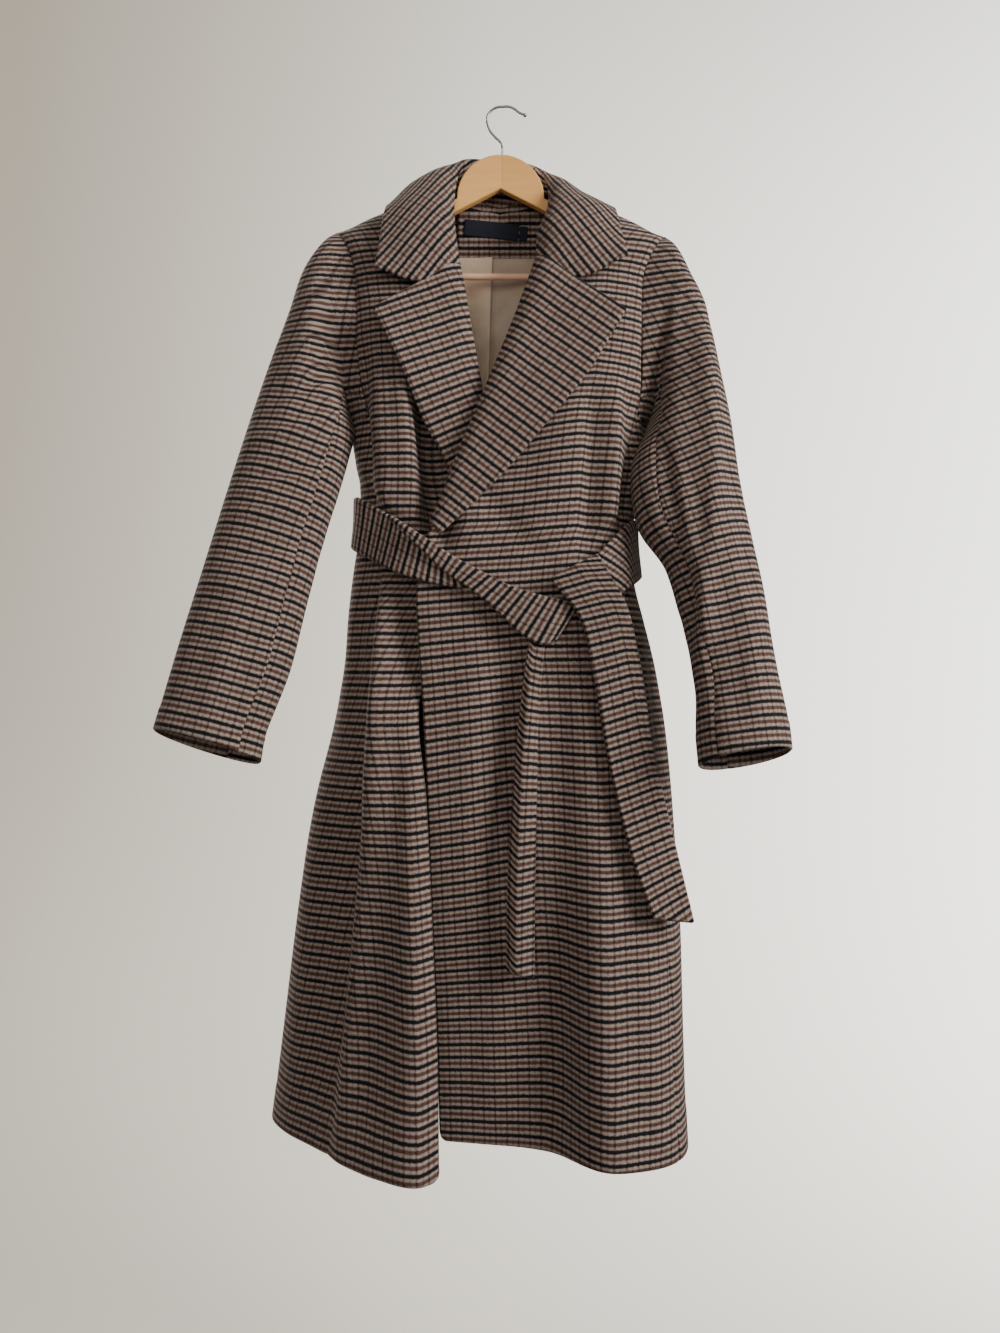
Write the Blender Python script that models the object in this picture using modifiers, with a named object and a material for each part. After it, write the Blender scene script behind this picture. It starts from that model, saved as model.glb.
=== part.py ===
"""Wool wrap coat on its wooden hanger.

Metres, +Z up, the coat's front faces -Y. The origin is the inside of the top of
the hanger's hook, where the hanger hangs. "left" and "right" are as seen from the front.
Sizes are in millimetres, and MM turns them into metres where the objects are made.
"""

import math

import bpy
import numpy as np

MM = 0.001

# Cloth thicknesses, and the gaps at seams and where the sleeves are set in.
COAT_WALL = 3.0
FOLDED_WALL = 4.0
FACING_WALL = 2.0
LINING_WALL = 1.2
LABEL_WALL = 0.8
BELT_WALL = 4.0
SEAM_GAP = 1.0
ARMHOLE_CLEAR = 1.8
UNDERARM_CLEAR = 4.5

# Places along the body, from the centre of the back round to the front edge.
CENTRE, BLADE, BACK_SEAM, REAR, SIDE, PRINCESS, RIDGE, HOLLOW, EDGE = range(9)
CENTRE_X = -3.0
HEM, UNDERARM = -1197.0, -385.0
LOWER_ROWS = 18
YOKE_SHARES = (0.12, 0.24, 0.36, 0.48, 0.6, 0.71, 0.81, 0.9, 0.96, 1)

# Fronts: height, height at the edge, then (x, y) of side, princess seam, ridge, hollow, edge.
# From UNDERARM up, the princess column is the armhole and the edge column is the neckline.
LEFT_FRONT = (
    (-1197, -1197, (-267, -22), (-190, -124), (-131, -174), (-84, -190), (-67, -178)),
    (-1080, -1080, (-253, -20), (-164, -114), (-122, -150), (-88, -168), (-70, -157)),
    (-950, -950, (-237, -19), (-152, -103), (-120, -130), (-95, -143), (-77, -134)),
    (-820, -820, (-216, -19), (-153, -88), (-122, -110), (-103, -118), (-85, -111)),
    (-710, -710, (-191, -19), (-155, -74), (-127, -91), (-108, -95), (-93, -89)),
    (-670, -670, (-184, -19), (-150, -69), (-124, -82), (-102, -83), (-84, -79)),
    (-620, -620, (-181, -20), (-146, -63), (-118, -74), (-90, -75), (-66, -72)),
    (-560, -560, (-175, -21), (-142, -56), (-112, -67), (-78, -66), (-32, -64)),
    (-503, -503, (-168, -22), (-146, -52), (-110, -68), (-74, -57), (-18, -60)),
    (-440, -440, (-169, -20), (-152, -50), (-108, -76), (-72, -52), (-17, -56)),
    (-385, -385, (-178, -12), (-156, -47), (-110, -74), (-72, -53), (-25, -52)),
    (-345, -340, (-181, -10), (-165, -46), (-114, -70), (-78, -52), (-32, -48)),
    (-300, -285, (-183, -9), (-170, -42), (-118, -62), (-86, -50), (-42, -45)),
    (-250, -225, (-186, -8), (-171, -36), (-122, -50), (-92, -45), (-52, -40)),
    (-200, -165, (-190, -6), (-177, -26), (-132, -36), (-102, -33), (-64, -27)),
    (-166, -120, (-197, -3), (-190, -15), (-148, -20), (-118, -20), (-76, -15)),
    (-152, -102, (-203, -1), (-199, -1.8), (-160, -1.8), (-125, -1.8), (-80, -1.8)),
)
RIGHT_FRONT = (
    (-1197, -1197, (203, -50), (186, -138), (113, -162), (45, -117), (-69, -93)),
    (-1080, -1080, (202, -48), (182, -128), (113, -150), (42, -112), (-72, -94)),
    (-950, -950, (200, -44), (178, -116), (112, -134), (40, -107), (-78, -94)),
    (-820, -820, (194, -38), (168, -100), (108, -120), (36, -102), (-83, -94)),
    (-710, -710, (184, -30), (155, -86), (102, -107), (32, -97), (-88, -94)),
    (-640, -640, (172, -26), (145, -76), (95, -98), (28, -94), (-93, -93)),
    (-590, -590, (156, -24), (138, -68), (88, -90), (25, -90), (-95, -91)),
    (-536, -536, (149, -22), (133, -62), (82, -83), (20, -85), (-88, -86)),
    (-480, -480, (156, -20), (138, -60), (86, -86), (25, -85), (-63, -81)),
    (-430, -430, (166, -17), (146, -57), (90, -88), (32, -82), (-44, -76)),
    (-385, -385, (171, -13), (155, -50), (95, -82), (40, -78), (-26, -70)),
    (-345, -330, (174, -11), (161, -46), (104, -74), (50, -71), (-4, -62)),
    (-300, -270, (176, -9), (162, -42), (112, -63), (64, -60), (19, -50)),
    (-250, -210, (179, -8), (162, -36), (118, -50), (78, -48), (40, -42)),
    (-204, -160, (184, -6), (168, -26), (126, -36), (94, -34), (56, -28)),
    (-171, -120, (190, -3), (184, -15), (142, -20), (110, -20), (69, -15)),
    (-157, -102, (197, -1), (194, -1.8), (154, -1.8), (119, -1.8), (74, -1.8)),
)
# Backs: height, then (y, z) of the centre, (x, y, z) of the blade, (x, y) of the back seam or
# armhole and (x, y) of the rear corner, for the left half.
LEFT_BACK = (
    (-1197, (28, -1197), (-70, 28, -1197), (-150, 28), (-232, 20)),
    (-950, (28, -950), (-62, 28, -950), (-132, 28), (-204, 20)),
    (-710, (28, -710), (-55, 28, -710), (-116, 28), (-165, 18)),
    (-560, (27, -560), (-50, 28, -560), (-106, 27), (-152, 16)),
    (-503, (26, -503), (-50, 27, -503), (-104, 26), (-148, 15)),
    (-385, (28, -385), (-66, 29, -385), (-136, 26), (-166, 15)),
    (-345, (28, -340), (-76, 29, -342), (-158, 24), (-172, 10)),
    (-300, (28, -290), (-80, 28, -295), (-163, 22), (-176, 9)),
    (-250, (27, -236), (-82, 27, -240), (-165, 20), (-179, 8)),
    (-200, (25, -180), (-82, 24, -180), (-174, 17), (-184, 6)),
    (-166, (22, -132), (-81, 15, -120), (-188, 13), (-193, 4)),
    (-152, (20, -112), (-80, 1.8, -102), (-199, 1.8), (-202, 1)),
)
RIGHT_BACK = (
    (-1197, (28, -1197), (55, 28, -1197), (118, 28), (176, 16)),
    (-950, (28, -950), (52, 28, -950), (110, 28), (168, 16)),
    (-710, (28, -710), (48, 28, -710), (100, 28), (158, 17)),
    (-590, (27, -590), (44, 28, -590), (94, 27), (136, 16)),
    (-536, (26, -536), (44, 27, -536), (92, 26), (132, 15)),
    (-385, (28, -385), (60, 29, -385), (128, 26), (158, 15)),
    (-345, (28, -340), (70, 29, -342), (151, 24), (166, 10)),
    (-300, (28, -290), (74, 28, -295), (156, 22), (170, 9)),
    (-250, (27, -236), (76, 27, -240), (158, 20), (173, 8)),
    (-204, (25, -180), (76, 24, -180), (167, 17), (178, 6)),
    (-171, (22, -132), (75, 15, -120), (182, 13), (187, 4)),
    (-157, (20, -112), (74, 1.8, -102), (194, 1.8), (196, 1)),
)

# Lapels, from the break to the gorge: height on the roll line, (x, y, z) of the outer edge.
LEFT_LAPEL = (
    (-520, (-46, -67, -524)),
    (-480, (-56, -66, -480)),
    (-430, (-66, -66, -437)),
    (-385, (-86, -71, -400)),
    (-330, (-111, -82, -341)),
    (-270, (-130, -80, -300)),
    (-207, (-146, -76, -268)),
)
RIGHT_LAPEL = (
    (-512, (-71, -93, -525)),
    (-480, (-42, -93, -498)),
    (-430, (3, -93, -453)),
    (-370, (54, -92, -393)),
    (-310, (92, -87, -346)),
    (-250, (116, -80, -306)),
    (-199, (138, -74, -269)),
)
ROLL = 4.5
ROLL_SHARE = 0.4
ROLL_GAP, GORGE_GAP, NECK_GAP = 1.8, 1.7, 3.5
FOLD_PLACES = (0, 0.5, 0.8, 1, 1.25, 1.6, 2, 2.4, 2.8, 3.2, 3.6, 4)

# Collar: turn along the neck seam (0 at the centre of the back, 1 at the shoulder, 2 at the
# front), then the fold, the start of the fall, its middle and its outer edge.
LEFT_COLLAR = (
    (1.6, (-56, -38, -175), (-60, -43, -172), (-100, -54, -180), (-142, -50, -185)),
    (1.2, (-59, -22, -131), (-66, -26, -123), (-104, -32, -124), (-138, -28, -136)),
    (1.0, (-57, -5, -91), (-66, -5, -82), (-106, -3, -91), (-136, 3, -117)),
    (0.66, (-48, 12, -58), (-55, 18, -58), (-89, 24, -73), (-122, 30, -106)),
    (0.33, (-26, 19, -55), (-28, 27, -57), (-44, 33, -82), (-66, 37, -121)),
)
CENTRE_COLLAR = ((-3, 21, -58), (-3, 29, -61), (-3, 34, -88), (-3, 37, -126))
RIGHT_COLLAR = (
    (1.6, (42, -38, -167), (48, -44, -164), (92, -55, -176), (137, -50, -178)),
    (1.2, (54, -22, -131), (59, -27, -124), (96, -33, -126), (132, -28, -137)),
    (1.0, (55, -5, -97), (62, -5, -91), (97, -3, -105), (130, 3, -121)),
    (0.66, (47, 12, -70), (53, 18, -70), (81, 24, -88), (114, 30, -113)),
    (0.33, (20, 19, -58), (21, 27, -61), (35, 33, -86), (57, 37, -122)),
)
COLLAR_CORNERS = ((-146, -61, -217), (141, -63, -204))
NECK_TOP = -102.0

# Sleeves: (x, z) of the outer and the inner side, middle depth, half depth, rise of the front.
LEFT_SLEEVE = (
    ((-209, -163), (-184, -384), -8, 36, 0.0),
    ((-235, -203), (-185, -386), -15, 38, 0.02),
    ((-251, -258), (-185, -391), -24, 38, 0.04),
    ((-270, -320), (-183, -401), -36, 37, 0.08),
    ((-292, -400), (-184, -451), -52, 36, 0.16),
    ((-313, -484), (-204, -529), -70, 34, 0.22),
    ((-333, -567), (-221, -607), -88, 33, 0.24),
    ((-353, -649), (-235, -678), -106, 31, 0.24),
    ((-367, -713), (-257, -743), -121, 30, 0.3),
    ((-373, -741), (-262, -774), -128, 30, 0.38),
)
RIGHT_SLEEVE = (
    ((202, -168), (178, -384), -8, 36, 0.0),
    ((220, -204), (178, -387), -15, 38, 0.02),
    ((235, -256), (176, -393), -26, 38, 0.04),
    ((248, -312), (170, -406), -40, 37, 0.08),
    ((259, -383), (158, -440), -56, 36, 0.16),
    ((266, -465), (161, -505), -75, 35, 0.22),
    ((275, -538), (182, -566), -92, 34, 0.24),
    ((283, -600), (193, -613), -108, 33, 0.25),
    ((291, -674), (207, -686), -128, 31, 0.26),
    ((298, -729), (204, -739), -146, 30, 0.32),
    ((299, -760), (205, -775), -156, 30, 0.42),
)
UNDERARM_PLACE = 3.6
SLEEVE_COLUMNS = 24
SLEEVE_TURN = np.arange(SLEEVE_COLUMNS) / SLEEVE_COLUMNS * 2 * math.pi
FRONT_SLEEVE_SEAM, BACK_SLEEVE_SEAM = 9, 17

# Belt: (x, y, z) of the upper and the lower edge at each step along a stretch.
BELT_RIGHT = (
    ((84, -98, -576), (94, -99, -622)),
    ((97, -96, -560), (108, -98, -612)),
    ((122, -84, -532), (130, -88, -591)),
    ((144, -60, -510), (149, -66, -578)),
    ((157, -20, -503), (160, -22, -567)),
)
BELT_LEFT = (
    ((-174, -20, -476), (-176, -22, -532)),
    ((-168, -46, -479), (-173, -48, -537)),
    ((-136, -69, -499), (-147, -71, -552)),
    ((-103, -91, -523), (-115, -92, -568)),
    ((-78, -96, -543), (-84, -98, -578)),
    ((-50, -96, -562), (-46, -98, -586)),
)
BELT_PLACES = (0, 0.7, 1.3, 1.8, 2.2, 2.6, 3, 3.3, 3.6)
BELT_TURN = (
    ((-84, -102, -534), (-89, -102, -543)),
    ((-54, -103, -554), (-63, -103, -568)),
    ((-22, -104, -571), (-39, -104, -584)),
    ((19, -105, -590), (-2, -105, -615)),
    ((48, -106, -598), (22, -107, -637)),
    ((68, -106, -603), (43, -107, -648)),
    ((77, -104, -612), (58, -104, -642)),
)
TAIL_WIDE = (
    ((53, -106, -577), (103, -106, -551)),
    ((69, -112, -597), (114, -112, -573)),
    ((83, -113, -617), (129, -113, -598)),
    ((98, -114, -678), (146, -113, -659)),
    ((116, -125, -784), (162, -121, -769)),
    ((138, -136, -876), (185, -130, -872)),
    ((160, -142, -938), (202, -136, -945)),
)
TAIL_NARROW = (
    ((32, -100, -634), (46, -100, -634)),
    ((27, -103, -664), (42, -103, -670)),
    ((18, -106, -736), (37, -106, -742)),
    ((11, -112, -820), (35, -112, -826)),
    ((6, -117, -905), (33, -118, -908)),
    ((4, -121, -1000), (32, -122, -1009)),
)

# Hanger.
HEAD_RADIUS = 52.5
HEAD_TOP = -59.0
ARM_START, ARM_END, ARM_TOP, ARM_SLOPE = 77, 181, -124.0, 0.40
WOOD_THICKNESS, WOOD_Y = 11.0, -1.0
BAR_RADIUS = 4.0
BAR_Z = -204.0
WIRE_RADIUS = 1.4
HOOK_ROUTE = (
    (-1.2, -70),
    (-1.2, -59),
    (-1.2, -47),
    (-2.6, -42.5),
    (-9.8, -35),
    (-16.3, -27),
    (-19.3, -19),
    (-19.6, -12.5),
    (-17, -6.5),
    (-12, -1.6),
    (-6, 1),
    (0, 1.4),
    (7, 1.5),
    (13, -0.8),
    (19.5, -5.6),
    (26.4, -8.8),
)

# Neck pieces: heights, and each patch's middle (x, z), size and tilt.
FACING_BOTTOM = -174.0
LINING_TOP, LINING_BOTTOM = -176.0, -430.0
LABEL_MIDDLE, LABEL_SIZE = (-14.0, -139.0), (66.0, 19.0)
TAG_MIDDLE, TAG_SIZE = (25.0, -143.5), (9.0, 17.0)
LABEL_TILT = math.radians(-6)

COAT_COLOUR = (0.17, 0.12, 0.10)
LINING_COLOUR = (0.33, 0.26, 0.19)
LABEL_COLOUR = (0.015, 0.018, 0.035)
WOOD_COLOUR = (0.62, 0.36, 0.16)
BAR_COLOUR = (0.68, 0.40, 0.28)
STEEL_COLOUR = (0.45, 0.44, 0.42)


def smooth(keys, values, at):
    """A smooth curve through values, which stand at keys, read at other keys."""
    keys = np.asarray(keys, float)
    values = np.asarray(values, float)
    at = np.asarray(at, float)
    spread = (...,) + (None,) * (values.ndim - 1)
    gaps = np.diff(keys)
    slopes = np.diff(values, axis=0) / gaps[spread]
    before, after = gaps[:-1][spread], gaps[1:][spread]
    tangents = np.empty_like(values)
    tangents[0], tangents[-1] = slopes[0], slopes[-1]
    tangents[1:-1] = (slopes[:-1] * after + slopes[1:] * before) / (before + after)
    place = np.clip(np.searchsorted(keys, at, side="right") - 1, 0, len(keys) - 2)
    f = ((at - keys[place]) / gaps[place])[spread]
    gap = gaps[place][spread]
    return (
        (2 * f**3 - 3 * f**2 + 1) * values[place]
        + (f**3 - 2 * f**2 + f) * gap * tangents[place]
        + (3 * f**2 - 2 * f**3) * values[place + 1]
        + (f**3 - f**2) * gap * tangents[place + 1]
    )


def along(points, places):
    """Points on a smooth curve through points; a place counts them, so 1.5 is half-way to the third."""
    points = np.asarray(points, float)
    steps = np.linalg.norm(np.diff(points, axis=0), axis=1)
    keys = np.concatenate([[0], np.cumsum(steps)])
    return smooth(keys, points, np.interp(places, np.arange(len(keys)), keys))


def even(start, end, count):
    return np.linspace(start, end, count)


def unit(vector):
    return vector / np.linalg.norm(vector, axis=-1, keepdims=True)


class Half:
    """Half of the coat's body: rows from hem to shoulder, each a curve through its stations."""

    def __init__(self, front, back, hand):
        self.hand = hand
        self.heights = np.array([row[0] for row in front], float)
        behind = [(CENTRE_X, *row[1], *row[2], *row[3], row[0], *row[4], row[0]) for row in back]
        behind = smooth([row[0] for row in back], behind, self.heights).reshape(-1, 4, 3)
        rows = []
        for row, back_points in zip(front, behind):
            stations = np.array(row[2:], float)
            share = (stations[:, 0] - stations[1, 0]) / (stations[-1, 0] - stations[1, 0])
            levels = row[0] + (row[1] - row[0]) * np.clip(share, 0, 1)
            rows.append(np.vstack([back_points, np.column_stack([stations, levels])]))
        self.rows = np.array(rows)

    def row(self, height):
        return smooth(self.heights, self.rows, [height])[0]

    def at(self, place, height):
        return along(self.row(height), [place])[0]

    def at_level(self, place, level, out=0.0):
        """The point at a place and a real height, moved out of the body by a distance."""
        columns = np.array([along(row, [place - 0.04, place, place + 0.04]) for row in self.rows])
        before, point, after = (smooth(columns[:, i, 2], columns[:, i], [level])[0] for i in range(3))
        below, above = smooth(columns[:, 1, 2], columns[:, 1], [level - 2, level + 2])
        return point + unit(np.cross(after - before, above - below)) * self.hand * out


def finish(obj, colour, roughness, metallic=0.0):
    """Gives an object its own material and puts it in the part's collection."""
    material = bpy.data.materials.new(obj.name)
    material.use_nodes = True
    shader = material.node_tree.nodes["Principled BSDF"]
    shader.inputs["Base Color"].default_value = (*colour, 1)
    shader.inputs["Roughness"].default_value = roughness
    shader.inputs["Metallic"].default_value = metallic
    obj.data.materials.append(material)
    for old in list(obj.users_collection):
        old.objects.unlink(obj)
    COLLECTION.objects.link(obj)
    return obj


def sheet(name, grid, wall, colour=COAT_COLOUR, roughness=0.9):
    """A cloth wall about a grid of middle points in millimetres."""
    rows, columns = grid.shape[:2]
    corners = np.arange(rows * columns).reshape(rows, columns)
    faces = np.stack([corners[:-1, :-1], corners[:-1, 1:], corners[1:, 1:], corners[1:, :-1]], -1)
    mesh = bpy.data.meshes.new(name)
    mesh.from_pydata((grid.reshape(-1, 3) * MM).tolist(), [], faces.reshape(-1, 4).tolist())
    mesh.shade_smooth()
    obj = bpy.data.objects.new(name, mesh)
    wall_modifier = obj.modifiers.new("Wall", "SOLIDIFY")
    wall_modifier.thickness = wall * MM
    wall_modifier.offset = 0
    return finish(obj, colour, roughness)


def seam_gapped(grid, start, end):
    """The grid with its first and last columns drawn in from the seams there."""
    grid = grid.copy()
    grid[:, 0] += unit(grid[:, 1] - grid[:, 0]) * start
    grid[:, -1] += unit(grid[:, -2] - grid[:, -1]) * end
    return grid


def body(side, half):
    """The back, side and front panels of one half."""
    lower = even(HEM, UNDERARM, LOWER_ROWS)
    upper = UNDERARM + (half.heights[-1] - UNDERARM) * np.array(YOKE_SHARES)
    full = np.concatenate([lower, upper])
    short = lower.copy()
    short[-1] -= SEAM_GAP
    gap = SEAM_GAP / 2
    panels = (
        ("back_", CENTRE, BACK_SEAM, 8, full, gap),
        ("side_", BACK_SEAM, PRINCESS, 9, short, gap),
        ("front_", PRINCESS, EDGE, 14, full, 0),
    )
    for name, start, end, columns, heights, end_gap in panels:
        places = even(start, end, columns)
        grid = np.array([along(half.row(height), places) for height in heights])
        sheet(name + side, seam_gapped(grid, gap, end_gap), COAT_WALL)


def lapel_line(half, level, edge, roll):
    """One row of a lapel: its seam, its fold, the start, the middle and the edge of its fall."""
    seam = half.at_level(EDGE, level)
    fold = seam + (half.hand * roll, -roll, 0)
    laid = seam + (0, -2 * roll, 0)
    middle = laid + (edge - laid) * ROLL_SHARE + (0, -1.5, 0)
    return np.array([seam, fold, laid, middle, edge])


def lapel(half, table):
    """A front's turned-back facing, which doubles over the roll line and runs out to its edge."""
    keys = [row[0] for row in table]
    levels = np.interp(even(0, len(table) - 1, 17), range(len(table)), keys)
    edges = smooth(keys, [row[1] for row in table], levels)
    rolls = ROLL * np.minimum(1.0, 0.6 + 0.1 * np.arange(len(levels)))
    lines = [lapel_line(half, *values) for values in zip(levels, edges, rolls)]
    grid = seam_gapped(np.array([along(line, FOLD_PLACES) for line in lines]), ROLL_GAP, 0)
    grid[-1] += unit(grid[-2] - grid[-1]) * GORGE_GAP
    return grid


def collar_lines(half, table, lapel_table, corner):
    """The rows of half a collar, from the gorge, where it meets the lapel, to the back."""
    gorge = lapel_table[-1][0]
    lines = [lapel_line(half, gorge, np.array(corner, float), ROLL)]
    lines[0][3] = lapel_line(half, gorge, np.array(lapel_table[-1][1], float), ROLL)[3]
    for turn, *points in table:
        if turn > 1:
            seam = half.at_level(EDGE, NECK_TOP + (gorge - NECK_TOP) * (turn - 1))
        else:
            seam = half.at(turn, half.heights[-1])
        lines.append(np.array([seam, *points], float))
    return lines


def collar(left, right):
    lines = collar_lines(left, LEFT_COLLAR, LEFT_LAPEL, COLLAR_CORNERS[0])
    lines.append(np.array([left.at(0, left.heights[-1]), *CENTRE_COLLAR], float))
    lines += collar_lines(right, RIGHT_COLLAR, RIGHT_LAPEL, COLLAR_CORNERS[1])[::-1]
    lines = np.array(lines)
    places = even(0, len(lines) - 1, 33)
    lines = np.array([along(lines[:, i], places) for i in range(5)])
    lines = seam_gapped(lines, GORGE_GAP, GORGE_GAP).transpose(1, 0, 2)
    return seam_gapped(np.array([along(line, FOLD_PLACES) for line in lines]), NECK_GAP, 0)


def armhole(half):
    """The seam round an armhole, down the front and up the back, a little outside it."""
    down = even(half.heights[-1], UNDERARM, 30)
    halves = []
    for seam in (PRINCESS, BACK_SEAM):
        line = [half.at(seam, height) for height in down]
        line += [half.at(place, UNDERARM) for place in even(seam, UNDERARM_PLACE, 10)[1:]]
        line = np.array(line)
        lengths = np.concatenate([[0], np.cumsum(np.linalg.norm(np.diff(line, axis=0), axis=1))])
        shares = even(0, lengths[-1], SLEEVE_COLUMNS // 2 + 1)
        halves.append(np.column_stack([np.interp(shares, lengths, line[:, i]) for i in range(3)]))
    ring = np.vstack([halves[0], halves[1][-2:0:-1]])
    low = (1 - np.cos(SLEEVE_TURN)) / 2
    ring[:, 0] -= half.hand * (ARMHOLE_CLEAR + UNDERARM_CLEAR * low**4)
    return ring


def sleeve(side, half, table):
    """A top and an under sleeve, from rings that start at the armhole."""
    rings = [armhole(half)]
    for outer, inner, depth, half_depth, rise in table:
        outer_point = np.array((outer[0], depth, outer[1]), float)
        inner_point = np.array((inner[0], depth, inner[1]), float)
        centre = (outer_point + inner_point) / 2
        front = np.array((0, -half_depth, rise * half_depth))
        to_side, to_front = np.cos(SLEEVE_TURN)[:, None], np.sin(SLEEVE_TURN)[:, None]
        rings.append(centre + to_side * (outer_point - centre) + to_front * front)
    places = np.concatenate([even(0, 4, 8), even(4, len(table), 11)[1:]])
    tube = smooth(range(len(rings)), rings, places)
    under = tube[:, FRONT_SLEEVE_SEAM : BACK_SLEEVE_SEAM + 1]
    top = np.concatenate([tube[:, BACK_SLEEVE_SEAM:], tube[:, : FRONT_SLEEVE_SEAM + 1]], axis=1)
    gap = SEAM_GAP * 0.6
    sheet("sleeve_top_" + side, seam_gapped(top, gap, gap), COAT_WALL)
    sheet("sleeve_under_" + side, seam_gapped(under, gap, gap), COAT_WALL)


def ribbon(table, steps):
    """A flat stretch of belt between its upper and its lower edge."""
    table = np.array(table, float)
    places = even(0, len(table) - 1, steps)
    upper, lower = along(table[:, 0], places), along(table[:, 1], places)
    shares = even(0, 1, 4)[None, :, None]
    return upper[:, None] * (1 - shares) + lower[:, None] * shares


def belt_wrap(left, right):
    """The belt from the knot's right side round the back to its left side."""
    out = (COAT_WALL + BELT_WALL) / 2 + 1.2
    back = []
    places = [(right, place) for place in BELT_PLACES[:0:-1]] + [(left, place) for place in BELT_PLACES]
    for step, (half, place) in enumerate(places):
        share = (step + 0.5) / len(places)
        upper = -503 + 28 * share
        lower = -569 + 37 * share
        back.append((half.at_level(place, upper, out), half.at_level(place, lower, out)))
    return ribbon([*BELT_RIGHT, *back, *BELT_LEFT], 52)


def inside_back(left, right, places, top, bottom, rows, inset):
    """A grid on the inside of both backs, between two heights."""
    columns = [(left, place) for place in places[:0:-1]] + [(right, place) for place in places]
    levels = even(0, 1, rows)
    grid = []
    for half, place in columns:
        start = top(half, place)
        grid.append([half.at_level(place, start + (bottom - start) * f, -inset) for f in levels])
    return np.array(grid)


def neck_facing(left, right):
    def top(half, place):
        return half.at(place, half.heights[-1])[2] - 15

    inset = (COAT_WALL + FACING_WALL) / 2 + 1.9
    return inside_back(left, right, even(0, 0.64, 6), top, FACING_BOTTOM, 7, inset)


def lining(left, right):
    def top(half, place):
        return LINING_TOP

    inset = (COAT_WALL + LINING_WALL) / 2 + 2.4
    return inside_back(left, right, even(0, 1.4, 7), top, LINING_BOTTOM, 8, inset)


def neck_patch(left, right, centre, size, tilt, columns):
    """A flat patch on the inside of the neck facing, by its middle, its size and its tilt."""
    inset = COAT_WALL / 2 + FACING_WALL + LABEL_WALL / 2 + 2.7
    grid = []
    for u in even(-size[0] / 2, size[0] / 2, columns):
        column = []
        for v in (size[1] / 2, -size[1] / 2):
            x = centre[0] + u * math.cos(tilt) - v * math.sin(tilt)
            level = centre[1] + u * math.sin(tilt) + v * math.cos(tilt)
            half = left if x < CENTRE_X else right
            blade = half.at_level(BLADE, level)[0]
            column.append(half.at_level((x - CENTRE_X) / (blade - CENTRE_X), level, -inset))
        grid.append(column)
    return np.array(grid)


def wood_outline():
    """The right half of the hanger's flat outline: a round head, an arm and a notched underside."""
    middle = HEAD_TOP - HEAD_RADIUS
    turns = np.radians(np.arange(0, 91, 10))
    head = [(HEAD_RADIUS * math.sin(turn), middle + HEAD_RADIUS * math.cos(turn)) for turn in turns]
    shoulder = [(x, ARM_TOP - (x - ARM_START) * ARM_SLOPE) for x in (ARM_START, 130, ARM_END - 12)]
    low = shoulder[-1][1]
    tip = [(ARM_END - 4, low - 5), (ARM_END, low - 16), (ARM_END, low - 46), (ARM_END - 5, low - 58)]
    underside = [(ARM_END - 14, low - 61), (ARM_END - 26, low - 55), (125, -166), (55, -128), (0, -100)]
    return head + shoulder + tip + underside


def cylinder(name, radius, length, location, turn, vertices):
    bpy.ops.mesh.primitive_cylinder_add(vertices=vertices, radius=radius * MM, depth=length * MM)
    obj = bpy.context.object
    obj.name = name
    obj.rotation_euler = (0, turn, 0)
    obj.location = [value * MM for value in location]
    return obj


def drill(obj, cutter):
    """Cuts a hole in an object and removes the cutter."""
    cut = obj.modifiers.new("Drill", "BOOLEAN")
    cut.operation = "DIFFERENCE"
    cut.solver = "EXACT"
    cut.object = cutter
    bpy.context.view_layer.objects.active = obj
    bpy.ops.object.modifier_apply(modifier=cut.name)
    bpy.data.objects.remove(cutter, do_unlink=True)


def hanger():
    """The flat wooden hanger, its bar in two drilled holes and its wire hook in a third."""
    right = wood_outline()
    outline = right + [(-x, z) for x, z in right[-2:0:-1]]
    curve = bpy.data.curves.new("hanger_outline", "CURVE")
    curve.dimensions = "2D"
    curve.fill_mode = "BOTH"
    curve.extrude = WOOD_THICKNESS / 2 * MM
    spline = curve.splines.new("POLY")
    spline.points.add(len(outline) - 1)
    for point, (x, z) in zip(spline.points, outline):
        point.co = ((x + CENTRE_X) * MM, z * MM, 0, 1)
    spline.use_cyclic_u = True
    wood = bpy.data.objects.new("hanger_wood", curve)
    wood.rotation_euler = (math.pi / 2, 0, 0)
    wood.location.y = WOOD_Y * MM
    finish(wood, WOOD_COLOUR, 0.45)
    bpy.ops.object.select_all(action="DESELECT")
    wood.select_set(True)
    bpy.context.view_layer.objects.active = wood
    bpy.ops.object.convert(target="MESH")
    reach = ARM_END - 14
    across = (CENTRE_X, WOOD_Y, BAR_Z)
    drill(wood, cylinder("bar_hole", BAR_RADIUS + 0.4, 2 * reach + 1, across, math.pi / 2, 24))
    upright = (HOOK_ROUTE[0][0], 0, HEAD_TOP - 5)
    drill(wood, cylinder("hook_hole", WIRE_RADIUS + 0.4, 20, upright, 0, 16))
    finish(cylinder("hanger_bar", BAR_RADIUS, 2 * reach, across, math.pi / 2, 24), BAR_COLOUR, 0.5)


def hook():
    curve = bpy.data.curves.new("hanger_hook", "CURVE")
    curve.dimensions = "3D"
    curve.bevel_depth = WIRE_RADIUS * MM
    curve.bevel_resolution = 2
    curve.use_fill_caps = True
    route = along([(x, 0, z) for x, z in HOOK_ROUTE], even(0, len(HOOK_ROUTE) - 1, 36))
    spline = curve.splines.new("POLY")
    spline.points.add(len(route) - 1)
    for point, place in zip(spline.points, route):
        point.co = (*(place * MM), 1)
    finish(bpy.data.objects.new("hanger_hook", curve), STEEL_COLOUR, 0.3, 1.0)


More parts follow.
